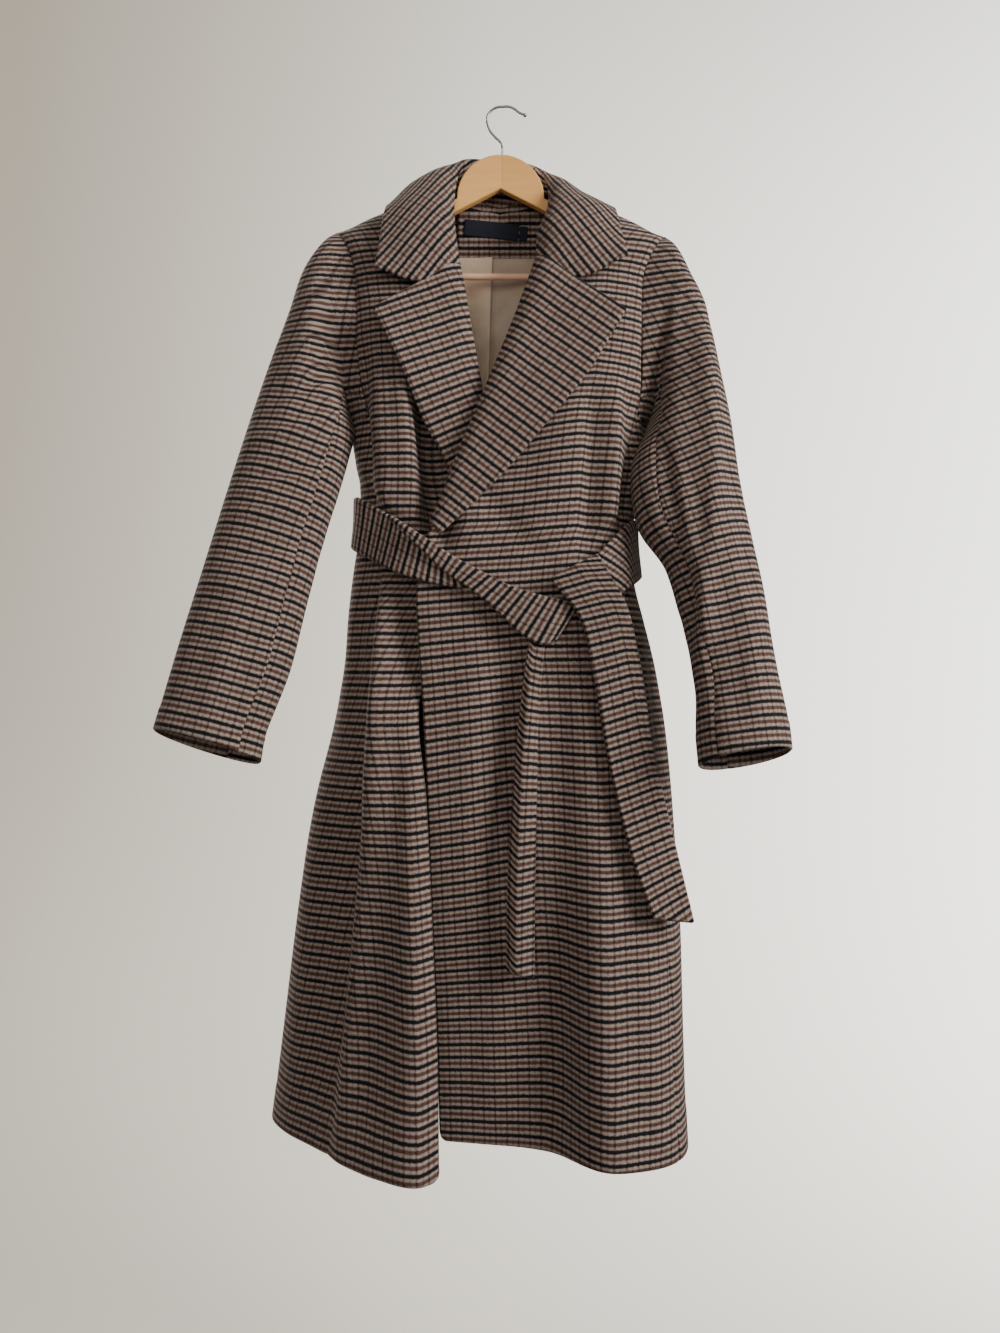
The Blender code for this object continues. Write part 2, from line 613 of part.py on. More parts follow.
for old in list(bpy.data.objects):
    bpy.data.objects.remove(old, do_unlink=True)
COLLECTION = bpy.data.collections.new("wool_wrap_coat")
bpy.context.scene.collection.children.link(COLLECTION)

LEFT = Half(LEFT_FRONT, LEFT_BACK, 1)
RIGHT = Half(RIGHT_FRONT, RIGHT_BACK, -1)
body("left", LEFT)
body("right", RIGHT)
sleeve("left", LEFT, LEFT_SLEEVE)
sleeve("right", RIGHT, RIGHT_SLEEVE)
sheet("lapel_left", lapel(LEFT, LEFT_LAPEL), FOLDED_WALL)
sheet("lapel_right", lapel(RIGHT, RIGHT_LAPEL), FOLDED_WALL)
sheet("collar", collar(LEFT, RIGHT), FOLDED_WALL)
sheet("belt_wrap", belt_wrap(LEFT, RIGHT), BELT_WALL)
sheet("belt_turn", ribbon(BELT_TURN, 16), BELT_WALL)
sheet("belt_tail_wide", ribbon(TAIL_WIDE, 16), BELT_WALL)
sheet("belt_tail_narrow", ribbon(TAIL_NARROW, 12), BELT_WALL)
sheet("neck_facing", neck_facing(LEFT, RIGHT), FACING_WALL)
sheet("lining", lining(LEFT, RIGHT), LINING_WALL, LINING_COLOUR, 0.5)
label = neck_patch(LEFT, RIGHT, LABEL_MIDDLE, LABEL_SIZE, LABEL_TILT, 7)
sheet("neck_label", label, LABEL_WALL, LABEL_COLOUR, 0.6)
tag = neck_patch(LEFT, RIGHT, TAG_MIDDLE, TAG_SIZE, LABEL_TILT, 3)
sheet("size_tag", tag, LABEL_WALL, LABEL_COLOUR, 0.6)
hanger()
hook()
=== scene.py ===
"""Wool wrap coat on its wooden hanger: the cloth, the satin, the label, the wood and the wire.

The frame is that of the solids, in metres and +Z up. Sizes here are in millimetres, and MM turns
them into metres where the meshes are made. "left" and "right" are as seen from the front.
"""

import math

import bmesh
import bpy
import numpy as np
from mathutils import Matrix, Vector


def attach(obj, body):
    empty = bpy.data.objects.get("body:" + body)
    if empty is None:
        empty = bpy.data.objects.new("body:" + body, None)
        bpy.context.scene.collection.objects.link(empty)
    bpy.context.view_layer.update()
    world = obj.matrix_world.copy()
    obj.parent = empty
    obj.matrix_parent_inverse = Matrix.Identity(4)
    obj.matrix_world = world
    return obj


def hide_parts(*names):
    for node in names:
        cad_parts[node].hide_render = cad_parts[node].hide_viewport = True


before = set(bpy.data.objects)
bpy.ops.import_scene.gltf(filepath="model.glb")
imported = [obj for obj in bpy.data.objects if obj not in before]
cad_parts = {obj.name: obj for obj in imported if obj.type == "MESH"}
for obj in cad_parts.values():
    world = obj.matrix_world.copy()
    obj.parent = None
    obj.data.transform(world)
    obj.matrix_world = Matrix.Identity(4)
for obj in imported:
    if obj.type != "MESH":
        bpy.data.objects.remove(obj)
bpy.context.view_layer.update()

MM = 0.001

# Cloth thicknesses.
COAT_WALL, HEM_WALL, FOLDED_WALL, EDGE_PAD = 2.4, 3.6, 3.6, 1.4
FACING_WALL, LINING_WALL, LABEL_WALL, BELT_WALL = 1.6, 0.8, 0.7, 4.0
SOLID_WALL, PATCH_GAP = 3.0, 0.6

# Places along the body, from the centre of the back round to the front edge.
CENTRE, BLADE, BACK_SEAM, REAR, SIDE, PRINCESS, RIDGE, HOLLOW, EDGE = range(9)
CENTRE_X = -3.0
HEM, UNDERARM = -1197.0, -385.0

# Fronts: height at the princess seam and at the edge, then (x, y) of the side, the princess
# seam, the ridge, the hollow and the edge.
LEFT_FRONT = (
    (-1197, -1197, (-267, -22), (-190, -124), (-131, -174), (-84, -190), (-67, -178)),
    (-1080, -1080, (-253, -20), (-164, -114), (-122, -150), (-88, -168), (-70, -157)),
    (-950, -950, (-237, -19), (-152, -103), (-120, -130), (-95, -143), (-77, -134)),
    (-820, -820, (-216, -19), (-153, -88), (-122, -110), (-103, -118), (-85, -111)),
    (-710, -710, (-191, -19), (-155, -74), (-127, -91), (-108, -95), (-93, -89)),
    (-670, -670, (-184, -19), (-150, -69), (-124, -82), (-102, -83), (-84, -79)),
    (-620, -620, (-181, -20), (-146, -63), (-118, -74), (-90, -75), (-66, -72)),
    (-560, -560, (-175, -21), (-142, -56), (-112, -67), (-78, -66), (-32, -64)),
    (-503, -503, (-168, -22), (-146, -52), (-110, -68), (-74, -57), (-18, -60)),
    (-440, -440, (-169, -20), (-152, -50), (-108, -76), (-72, -52), (-17, -56)),
    (-385, -385, (-178, -12), (-156, -47), (-110, -74), (-72, -53), (-25, -52)),
    (-345, -340, (-181, -10), (-165, -46), (-114, -70), (-78, -52), (-32, -48)),
    (-300, -285, (-183, -9), (-170, -42), (-118, -62), (-86, -50), (-42, -45)),
    (-250, -225, (-186, -8), (-171, -36), (-122, -50), (-92, -45), (-52, -40)),
    (-200, -165, (-190, -6), (-177, -26), (-132, -36), (-102, -33), (-64, -27)),
    (-166, -120, (-197, -3), (-190, -15), (-148, -20), (-118, -20), (-76, -15)),
    (-152, -102, (-203, -1), (-199, -1.8), (-160, -1.8), (-125, -1.8), (-80, -1.8)),
)
RIGHT_FRONT = (
    (-1197, -1197, (203, -50), (186, -138), (113, -162), (45, -117), (-69, -93)),
    (-1080, -1080, (202, -48), (182, -128), (113, -150), (42, -112), (-72, -94)),
    (-950, -950, (200, -44), (178, -116), (112, -134), (40, -107), (-78, -94)),
    (-820, -820, (194, -38), (168, -100), (108, -120), (36, -102), (-83, -94)),
    (-710, -710, (184, -30), (155, -86), (102, -107), (32, -97), (-88, -94)),
    (-640, -640, (172, -26), (145, -76), (95, -98), (28, -94), (-93, -93)),
    (-590, -590, (156, -24), (138, -68), (88, -90), (25, -90), (-95, -91)),
    (-536, -536, (149, -22), (133, -62), (82, -83), (20, -85), (-88, -86)),
    (-480, -480, (156, -20), (138, -60), (86, -86), (25, -85), (-63, -81)),
    (-430, -430, (166, -17), (146, -57), (90, -88), (32, -82), (-44, -76)),
    (-385, -385, (171, -13), (155, -50), (95, -82), (40, -78), (-26, -70)),
    (-345, -330, (174, -11), (161, -46), (104, -74), (50, -71), (-4, -62)),
    (-300, -270, (176, -9), (162, -42), (112, -63), (64, -60), (19, -50)),
    (-250, -210, (179, -8), (162, -36), (118, -50), (78, -48), (40, -42)),
    (-204, -160, (184, -6), (168, -26), (126, -36), (94, -34), (56, -28)),
    (-171, -120, (190, -3), (184, -15), (142, -20), (110, -20), (69, -15)),
    (-157, -102, (197, -1), (194, -1.8), (154, -1.8), (119, -1.8), (74, -1.8)),
)
# Backs: height, then (y, z) of the centre, (x, y, z) of the blade, (x, y) of the back seam or
# armhole and (x, y) of the rear corner.
LEFT_BACK = (
    (-1197, (28, -1197), (-70, 28, -1197), (-150, 28), (-232, 20)),
    (-950, (28, -950), (-62, 28, -950), (-132, 28), (-204, 20)),
    (-710, (28, -710), (-55, 28, -710), (-116, 28), (-165, 18)),
    (-560, (27, -560), (-50, 28, -560), (-106, 27), (-152, 16)),
    (-503, (26, -503), (-50, 27, -503), (-104, 26), (-148, 15)),
    (-385, (28, -385), (-66, 29, -385), (-136, 26), (-166, 15)),
    (-345, (28, -340), (-76, 29, -342), (-158, 24), (-172, 10)),
    (-300, (28, -290), (-80, 28, -295), (-163, 22), (-176, 9)),
    (-250, (27, -236), (-82, 27, -240), (-165, 20), (-179, 8)),
    (-200, (25, -180), (-82, 24, -180), (-174, 17), (-184, 6)),
    (-166, (22, -132), (-81, 15, -120), (-188, 13), (-193, 4)),
    (-152, (20, -112), (-80, 1.8, -102), (-199, 1.8), (-202, 1)),
)
RIGHT_BACK = (
    (-1197, (28, -1197), (55, 28, -1197), (118, 28), (176, 16)),
    (-950, (28, -950), (52, 28, -950), (110, 28), (168, 16)),
    (-710, (28, -710), (48, 28, -710), (100, 28), (158, 17)),
    (-590, (27, -590), (44, 28, -590), (94, 27), (136, 16)),
    (-536, (26, -536), (44, 27, -536), (92, 26), (132, 15)),
    (-385, (28, -385), (60, 29, -385), (128, 26), (158, 15)),
    (-345, (28, -340), (70, 29, -342), (151, 24), (166, 10)),
    (-300, (28, -290), (74, 28, -295), (156, 22), (170, 9)),
    (-250, (27, -236), (76, 27, -240), (158, 20), (173, 8)),
    (-204, (25, -180), (76, 24, -180), (167, 17), (178, 6)),
    (-171, (22, -132), (75, 15, -120), (182, 13), (187, 4)),
    (-157, (20, -112), (74, 1.8, -102), (194, 1.8), (196, 1)),
)
# Panels of a half: name, first and last place, columns on the left and on the right half, and
# where the check starts on it.
PANELS = (
    ("back_", CENTRE, BACK_SEAM, (36, 36), (2.0, 4.0)),
    ("side_", BACK_SEAM, PRINCESS, (50, 50), (5.0, 0.0)),
    ("front_", PRINCESS, EDGE, (56, 76), (0.0, 0.0)),
)
SKIRT_ROWS, CHEST_ROWS = 190, 56
HEM_DEPTH, CORNER_RADIUS, SHOULDER_FADE = 37, 8, (45, 5)
FRONT_STARTS = (3.3, 4.4)
# Where the belt holds the body in: places, then the height of its upper and lower edge there.
BELT_BAND = {
    "left": ((0, 2, 4, 5, 8), (-489, -489, -478, -490, -560), (-551, -551, -538, -556, -600)),
    "right": (
        (0, 2, 4, 5, 6.5, 8),
        (-489, -495, -503, -505, -560, -560),
        (-551, -558, -568, -596, -625, -600),
    ),
}
HELD_TROUGHS = 0.4

# Lapels, from the break to the gorge: height on the roll line, (x, y, z) of the outer edge.
LEFT_LAPEL = (
    (-520, (-46, -67, -524)),
    (-480, (-56, -66, -480)),
    (-430, (-66, -66, -437)),
    (-385, (-86, -71, -400)),
    (-330, (-111, -82, -341)),
    (-270, (-130, -80, -300)),
    (-207, (-146, -76, -268)),
)
RIGHT_LAPEL = (
    (-512, (-71, -93, -525)),
    (-480, (-42, -93, -498)),
    (-430, (3, -93, -453)),
    (-370, (54, -92, -393)),
    (-310, (92, -87, -346)),
    (-250, (116, -80, -306)),
    (-199, (138, -74, -269)),
)
ROLL, ROLL_SHARE, LAPEL_ROWS = 4.5, 0.4, 110
BREAK = {"left": -520, "right": -512}
LAPEL_TILT = {"left": math.radians(24), "right": math.radians(-38)}

# Collar: turn along the neck seam (0 at the centre of the back, 1 at the shoulder, 2 at the
# front), then the fold, the start of the fall, its middle and its outer edge.
LEFT_COLLAR = (
    (1.6, (-56, -38, -175), (-60, -43, -172), (-100, -54, -180), (-142, -50, -185)),
    (1.2, (-59, -22, -131), (-66, -26, -123), (-104, -32, -124), (-138, -28, -136)),
    (1.0, (-57, -5, -91), (-66, -5, -82), (-106, -3, -91), (-136, 3, -117)),
    (0.66, (-48, 12, -58), (-55, 18, -58), (-89, 24, -73), (-122, 30, -106)),
    (0.33, (-26, 19, -55), (-28, 27, -57), (-44, 33, -82), (-66, 37, -121)),
)
CENTRE_COLLAR = ((-3, 21, -58), (-3, 29, -61), (-3, 34, -88), (-3, 37, -126))
RIGHT_COLLAR = (
    (1.6, (42, -38, -167), (48, -44, -164), (92, -55, -176), (137, -50, -178)),
    (1.2, (54, -22, -131), (59, -27, -124), (96, -33, -126), (132, -28, -137)),
    (1.0, (55, -5, -97), (62, -5, -91), (97, -3, -105), (130, 3, -121)),
    (0.66, (47, 12, -70), (53, 18, -70), (81, 24, -88), (114, 30, -113)),
    (0.33, (20, 19, -58), (21, 27, -61), (35, 33, -86), (57, 37, -122)),
)
COLLAR_CORNERS = ((-146, -61, -217), (141, -63, -204))
NECK_TOP = -102.0
COLLAR_ROWS = 190
# The collar's yarns turn by this much between two lengths from its centre, and past the second
# pair of lengths they follow its leaf.
COLLAR_TURN, TURN_SPAN = math.radians(50), (50, 125)
LEAF_SPAN, LEAF_OUT, LEAF_UP = (80, 130), 0.79, 0.62

# Sleeves: (x, z) of the outer and the inner side, middle depth, half depth, rise of the front.
LEFT_SLEEVE = (
    ((-209, -163), (-180, -384), -8, 36, 0.0),
    ((-235, -203), (-178, -387), -15, 38, 0.02),
    ((-251, -258), (-177, -393), -24, 38, 0.04),
    ((-270, -320), (-175, -406), -36, 37, 0.08),
    ((-292, -400), (-184, -451), -52, 36, 0.16),
    ((-313, -484), (-204, -529), -70, 34, 0.22),
    ((-333, -567), (-221, -607), -88, 33, 0.24),
    ((-353, -649), (-235, -678), -106, 31, 0.24),
    ((-367, -713), (-257, -743), -121, 30, 0.3),
    ((-373, -741), (-262, -774), -128, 30, 0.38),
)
RIGHT_SLEEVE = (
    ((202, -168), (175, -384), -8, 36, 0.0),
    ((220, -204), (172, -387), -15, 38, 0.02),
    ((235, -256), (170, -394), -26, 38, 0.04),
    ((248, -312), (166, -406), -40, 37, 0.08),
    ((259, -383), (156, -440), -56, 36, 0.16),
    ((266, -465), (158, -505), -75, 35, 0.22),
    ((275, -538), (182, -566), -92, 34, 0.24),
    ((283, -600), (193, -613), -108, 33, 0.25),
    ((291, -674), (207, -686), -128, 31, 0.26),
    ((298, -729), (204, -739), -146, 30, 0.32),
    ((299, -760), (205, -775), -156, 30, 0.42),
)
UNDERARM_PLACE = 3.6
SLEEVE_COLUMNS, SLEEVE_ROWS, CAP_ROWS = 96, 150, 14
SLEEVE_SEAMS = (36, 68)
CAP_DEPTH, CUFF_PHASE, SEAM_SHIFT = -40.0, 11.6, 1.5
# How the check leans on the right sleeve's inner side: heights, then leans.
INNER_LEAN = ((-740, -650, -560, -330, -250, -180), (-0.02, 0.06, 0.26, 0.36, 0.30, 0.12))

# Belt: (x, y, z) of the upper and the lower edge at each step along a stretch.
BELT_RIGHT = (
    ((84, -98, -576), (94, -99, -622)),
    ((97, -96, -560), (108, -98, -612)),
    ((122, -84, -532), (130, -88, -591)),
    ((144, -60, -510), (149, -66, -578)),
    ((157, -20, -503), (160, -22, -567)),
)
BELT_LEFT = (
    ((-174, -20, -476), (-176, -22, -532)),
    ((-168, -46, -479), (-173, -48, -537)),
    ((-136, -69, -499), (-147, -71, -552)),
    ((-103, -91, -523), (-115, -92, -568)),
    ((-78, -96, -543), (-84, -98, -578)),
    ((-50, -96, -562), (-46, -98, -586)),
)
BELT_PLACES = (0, 0.7, 1.3, 1.8, 2.2, 2.6, 3, 3.3, 3.6)
BELT_TURN = (
    ((-127, -84, -504), (-128, -84, -506.5)),
    ((-106, -97.5, -519), (-109, -98, -524.5)),
    ((-84, -102, -534), (-89, -102, -543)),
    ((-54, -103, -554), (-63, -103, -568)),
    ((-22, -104, -571), (-39, -104, -584)),
    ((19, -105, -590), (-2, -105, -615)),
    ((48, -106, -598), (22, -107, -637)),
    ((68, -106, -603), (43, -107, -648)),
    ((77, -104, -612), (58, -104, -642)),
)
TAIL_WIDE = (
    ((53, -106, -577), (103, -106, -551)),
    ((69, -112, -597), (114, -112, -573)),
    ((83, -113, -617), (129, -113, -598)),
    ((98, -114, -678), (146, -113, -659)),
    ((116, -125, -784), (162, -121, -769)),
    ((138, -136, -876), (185, -130, -872)),
    ((160, -142, -938), (202, -136, -945)),
)
TAIL_NARROW = (
    ((32, -100, -634), (46, -100, -634)),
    ((27, -103, -664), (42, -103, -670)),
    ((18, -106, -736), (37, -106, -742)),
    ((11, -112, -820), (35, -112, -826)),
    ((6, -117, -905), (33, -118, -908)),
    ((4, -121, -1000), (32, -122, -1009)),
)
# Heights of the belt's edges at its right and left side, and its gap from the body.
BELT_TOP, BELT_LOW, BELT_GAP = (-503, -475), (-569, -532), 1.2
NARROW_CREASE = 0.34

# Hanger.
HEAD_RADIUS, HEAD_TOP = 52.5, -59.0
ARM_START, ARM_END, ARM_TOP, ARM_SLOPE = 77, 181, -124.0, 0.40
WOOD_THICKNESS, WOOD_Y, EASED = 11.0, -1.0, 1.6
BOARD_JOINT, HALF_JOINT = -1.2, 0.35
WIRE_RADIUS, BALL_RADIUS = 1.4, 2.3
HOOK_ROUTE = (
    (-1.2, -70), (-1.2, -59), (-1.2, -47), (-2.6, -42.5), (-9.8, -35), (-16.3, -27),
    (-19.3, -19), (-19.6, -12.5), (-17, -6.5), (-12, -1.6), (-6, 1), (0, 1.4),
    (7, 1.5), (13, -0.8), (19.5, -5.6), (26.4, -8.8),
)

# Neck pieces: heights, depths inside the backs, and each patch's middle (x, z) and size.
FACING_TOP, FACING_BOTTOM, FACING_INSET = -9, -174.0, 4.0
LINING_TOP, LINING_BOTTOM = -176.0, -430.0
LINING_INSET, LINING_DROOP, PLEAT_X = 4.4, 4.6, (-20.5, -13.0)
LABEL_MIDDLE, LABEL_SIZE = (-14.0, -139.0), (66.0, 19.0)
TAG_MIDDLE, TAG_SIZE = (25.0, -143.5), (9.0, 17.0)
LABEL_TILT, PATCH_ROWS = math.radians(-6), 12

# Creases: x and z of the start, of the middle and of the end, then width and height. A trough
# has a height below 0.
FRONT_CREASES = (
    # Left front above the belt: the ridge beside the lapel's shadow and the seam's pucker.
    (-160, -300, -154, -400, -146, -500, 8, -3.0),
    (-116, -330, -110, -420, -98, -530, 12, 4.2),
    (-142, -350, -137, -430, -126, -520, 15, 6.4),
    (-84, -340, -78, -420, -70, -540, 16, -14.5),
    (-176, -392, -170, -430, -158, -470, 12, 2.4),
    (-176, -440, -158, -470, -130, -500, 7, -2.2),
    # Left skirt under the belt: the pleat at the seam, which opens into a trough.
    (-141, -560, -145, -640, -152, -740, 5, -4.2),
    (-153, -700, -163, -880, -188, -1190, 9, -5.2),
    (-134, -575, -138, -700, -146, -900, 15, 7.6),
    (-148, -880, -158, -1040, -176, -1190, 15, 5.4),
    (-168, -560, -172, -650, -186, -760, 9, 2.8),
    (-206, -800, -222, -980, -240, -1190, 16, 3.6),
    # Right front above the belt: the fold that stands from the armhole to the belt.
    (127, -350, 124, -450, 117, -540, 9, 5.2),
    (100, -350, 98, -440, 92, -560, 11, -4.4),
    (150, -400, 142, -460, 132, -520, 6, -3.4),
    (164, -290, 169, -370, 164, -430, 6, -3.2),
    (60, -400, 40, -500, 20, -580, 22, 2.0),
    (-30, -470, 10, -520, 70, -580, 12, -1.6),
    (172, -392, 167, -450, 156, -505, 14, 3.4),
    # Right skirt under the belt: dark beside the narrow tail, then fuller down to the hem.
    (-34, -640, -38, -780, -44, -960, 18, 2.0),
    (0, -630, 0, -790, 4, -980, 17, -4.6),
    (60, -640, 60, -780, 58, -900, 18, -2.6),
    (56, -900, 58, -1050, 58, -1195, 20, -4.4),
    (104, -860, 106, -1040, 112, -1195, 22, 3.6),
    (168, -600, 172, -720, 182, -880, 9, -3.0),
    (150, -620, 158, -760, 160, -940, 14, 3.0),
    (150, -960, 156, -1080, 166, -1195, 16, 2.6),
    (0, -960, -6, -1080, -12, -1195, 24, 2.6),
)
BACK_CREASES = (
    # From the armholes and the blades down to the belt.
    (-140, -330, -112, -400, -84, -480, 12, 3.2),
    (-118, -320, -92, -400, -66, -480, 9, -2.4),
    (130, -330, 104, -410, 80, -500, 12, 3.4),
    (110, -330, 86, -410, 62, -500, 9, -2.4),
    (-40, -430, -36, -460, -34, -486, 8, -2.0),
    (172, -392, 167, -450, 156, -505, 14, 3.4),
    (-176, -392, -170, -430, -158, -470, 12, 2.4),
    (30, -430, 28, -470, 26, -500, 8, -2.2),
    (-30, -190, -6, -230, 28, -200, 14, -2.0),
    # Under the belt.
    (-104, -560, -108, -640, -118, -760, 9, -3.4),
    (-84, -560, -86, -680, -92, -860, 11, 3.2),
    (-56, -560, -58, -640, -60, -740, 8, -2.6),
    (-30, -565, -28, -700, -28, -900, 12, 2.6),
    (24, -570, 24, -680, 28, -820, 9, -2.8),
    (46, -575, 50, -700, 54, -900, 12, 3.2),
    (72, -580, 78, -660, 82, -760, 8, -3.0),
    (96, -580, 100, -700, 106, -860, 9, 2.6),
    (-130, -860, -150, -1020, -176, -1190, 16, 3.4),
    (-70, -920, -80, -1060, -96, -1190, 18, -2.8),
    (70, -900, 82, -1060, 92, -1190, 18, 3.0),
    (130, -900, 136, -1060, 146, -1190, 14, -2.8),
)
LEFT_SLEEVE_CREASES = (
    (-212, -190, -222, -300, -246, -400, 13, 3.0),
    (-198, -330, -222, -360, -262, -372, 10, -3.0),
    (-190, -380, -224, -416, -280, -420, 9, 2.8),
    (-196, -430, -226, -458, -290, -466, 8, -3.0),
    (-206, -490, -238, -500, -300, -508, 9, 2.6),
    (-214, -540, -246, -536, -310, -560, 8, -2.4),
    (-226, -570, -262, -590, -318, -584, 9, 2.2),
    (-238, -640, -270, -650, -330, -640, 8, -1.8),
    (-286, -600, -300, -680, -316, -750, 12, 2.2),
)
RIGHT_SLEEVE_CREASES = (
    (228, -240, 242, -440, 218, -570, 10, 3.4),
    (206, -240, 214, -340, 204, -440, 11, -1.4),
    (184, -230, 181, -310, 176, -390, 6, -4.0),
    (216, -560, 212, -640, 208, -720, 8, 3.6),
    (244, -560, 240, -660, 242, -740, 13, -2.6),
    (186, -440, 196, -500, 206, -560, 8, 3.0),
    (176, -420, 188, -470, 192, -530, 7, -2.6),
    (196, -560, 204, -600, 204, -650, 6, -3.0),
    (252, -420, 262, -520, 264, -620, 10, -2.6),
    (152, -410, 152, -490, 172, -550, 17, 5.6),
    (206, -210, 222, -230, 232, -270, 9, 2.2),
)
SLEEVE_BACK_CREASES = (
    (-200, -300, -230, -340, -266, -360, 11, -3.0),
    (-196, -400, -236, -430, -286, -440, 11, 3.2),
    (-206, -460, -250, -500, -300, -500, 9, -3.2),
    (-220, -530, -262, -560, -316, -548, 10, 3.0),
    (-236, -600, -280, -620, -330, -610, 9, -2.4),
    (190, -300, 214, -340, 242, -350, 11, -3.0),
    (152, -410, 152, -490, 172, -550, 17, 5.6),
    (176, -400, 216, -440, 256, -430, 11, 3.4),
    (178, -470, 220, -510, 266, -490, 9, -3.4),
    (186, -540, 230, -580, 276, -560, 10, 3.2),
    (198, -620, 240, -650, 284, -630, 9, -2.4),
)
CREASE_GAIN = 1.5
GROOVE, GROOVE_WIDTH = 1.2, 2.2
LEFT_LIFT = ((-1197, 0, 0, 4), (-820, 0, 0, 2), (-560, 0, 0, 0), (-100, 0, 0, 0))
RIGHT_LIFT = (
    (-1197, -3, 3, 0),
    (-1080, -3, 2, -6),
    (-950, -3, 0, -18),
    (-820, -4, 0, -22),
    (-710, -2, 0, -16),
    (-560, 5, -1, -8),
    (-400, 7, -1, -8),
    (-300, 3, 0, -4),
    (-100, 0, 0, 0),
)

# Check: the repeats of its crosswise stripes and of its lengthwise lines, and its colours.
WEFT_REPEAT, WARP_REPEAT, YARN = 14.5, 12.6, 1.05
NAVY, CREAM, RUST = (0.0052, 0.0050, 0.0070), (0.335, 0.262, 0.226), (0.094, 0.050, 0.037)
BROWN_LINE, DARK_LINE, NO_LINE = (0.72, 0.62, 0.56), (0.30, 0.26, 0.26), (1.0, 1.0, 1.0)
# Where each stripe and line starts and ends in its repeat. Between them the colours blend.
STRIPES = ((0.0, 0.215, NAVY), (0.31, 0.445, CREAM), (0.525, 0.715, RUST), (0.80, 0.925, CREAM))
LINES = (
    (0.0, 0.10, DARK_LINE),
    (0.18, 0.45, NO_LINE),
    (0.52, 0.60, BROWN_LINE),
    (0.68, 0.94, NO_LINE),
)
BEECH_TONES = (
    (0.30, (0.83, 0.420, 0.120)),
    (0.52, (0.88, 0.460, 0.138)),
    (0.75, (0.92, 0.495, 0.156)),
)

# Studio: the room in metres, the painted light and shade across it (darker on the left,
# brighter on the right, as if lit from the right), and the lamps: place, target, size, watts,
# colour and spread.
FLOOR, WALL_TOP, ROOM, COVE = -1.62, 7.0, 3.6, 2.6
PAINTED_WALL_LIGHT = ((0.05, (0.57, 0.50, 0.40)), (0.5, (0.97, 0.915, 0.79)), (0.95, (1.0, 0.98, 0.90)))
DAYLIGHT, LAMPLIGHT, SKYLIGHT = (1.0, 0.98, 0.95), (1.0, 0.95, 0.89), (0.97, 0.98, 1.0)
LAMPS = {
    "window": ((2.30, -1.35, 0.45), (0.0, 0.0, -0.62), (1.1, 1.8), 108.0, DAYLIGHT, 180),
    "front": ((-0.5, -2.8, 0.1), (0.0, 0.0, -0.7), (1.8, 1.8), 19.0, LAMPLIGHT, 180),
    "behind": ((-1.8, 2.0, 0.9), (0.0, 0.0, -0.6), (1.8, 1.8), 31.0, LAMPLIGHT, 100),
    "backdrop": ((2.0, -0.2, 0.5), (2.7, 3.0, -0.1), (1.4, 2.4), 590.0, SKYLIGHT, 180),
}


def unit(vector):
    """A vector, or each vector of a grid, at length 1."""
    return vector / np.linalg.norm(vector, axis=-1, keepdims=True)


def nearest(values, value):
    """The index of the value that is nearest to another."""
    return int(np.argmin(abs(values - value)))


def step(low, high, value):
    """A smooth rise from 0 at the low value to 1 at the high one."""
    t = np.clip((value - low) / (high - low), 0, 1)
    return t * t * (3 - 2 * t)


def smooth(keys, values, at):
    """A smooth curve through values, which stand at keys, read at other keys."""
    keys, values, at = (np.asarray(item, float) for item in (keys, values, at))
    spread = (...,) + (None,) * (values.ndim - 1)
    gaps = np.diff(keys)
    slopes = np.diff(values, axis=0) / gaps[spread]
    before, after = gaps[:-1][spread], gaps[1:][spread]
    inner = (slopes[:-1] * after + slopes[1:] * before) / (before + after)
    tangents = np.concatenate([slopes[:1], inner, slopes[-1:]])
    place = np.clip(np.searchsorted(keys, at, side="right") - 1, 0, len(keys) - 2)
    f = ((at - keys[place]) / gaps[place])[spread]
    gap = gaps[place][spread]
    return (
        (2 * f**3 - 3 * f**2 + 1) * values[place]
        + (f**3 - 2 * f**2 + f) * gap * tangents[place]
        + (3 * f**2 - 2 * f**3) * values[place + 1]
        + (f**3 - f**2) * gap * tangents[place + 1]
    )


def arc(points, axis=0):
    """Lengths along a line of points, or along the rows or the columns of a grid."""
    lengths = np.cumsum(np.linalg.norm(np.diff(points, axis=axis), axis=-1), axis=axis)
    pad = [(0, 0)] * lengths.ndim
    pad[axis] = (1, 0)
    return np.pad(lengths, pad)


def along(points, places):
    """Points on a smooth curve through points; a place counts them, so 1.5 is after the second."""
    points = np.asarray(points, float)
    keys = arc(points)
    return smooth(keys, points, np.interp(places, range(len(keys)), keys))


def crowded(start, end, count, crowd=0.7):
    """Steps from start to end that stand closer together near both ends."""
    t = np.linspace(0, 1, count)
    return start + (end - start) * (t - crowd * np.sin(2 * math.pi * t) / (2 * math.pi))


def fall_places(columns):
    """Places across a lapel or the collar: over its roll, and then out to its edge."""
    return np.append(np.linspace(0, 2, columns), np.linspace(2, 4, 34)[1:])


def normals_of(grid, hand=1.0):
    """Unit normals of a grid of points."""
    across, down = np.gradient(grid, axis=1), np.gradient(grid, axis=0)
    return unit(np.cross(across, down) + 1e-9) * hand


def seam_gapped(grid, start, end):
    """The grid with its first and last columns drawn in from the seams there."""
    grid = grid.copy()
    grid[:, 0] += unit(grid[:, 1] - grid[:, 0]) * start
    grid[:, -1] += unit(grid[:, -2] - grid[:, -1]) * end
    return grid


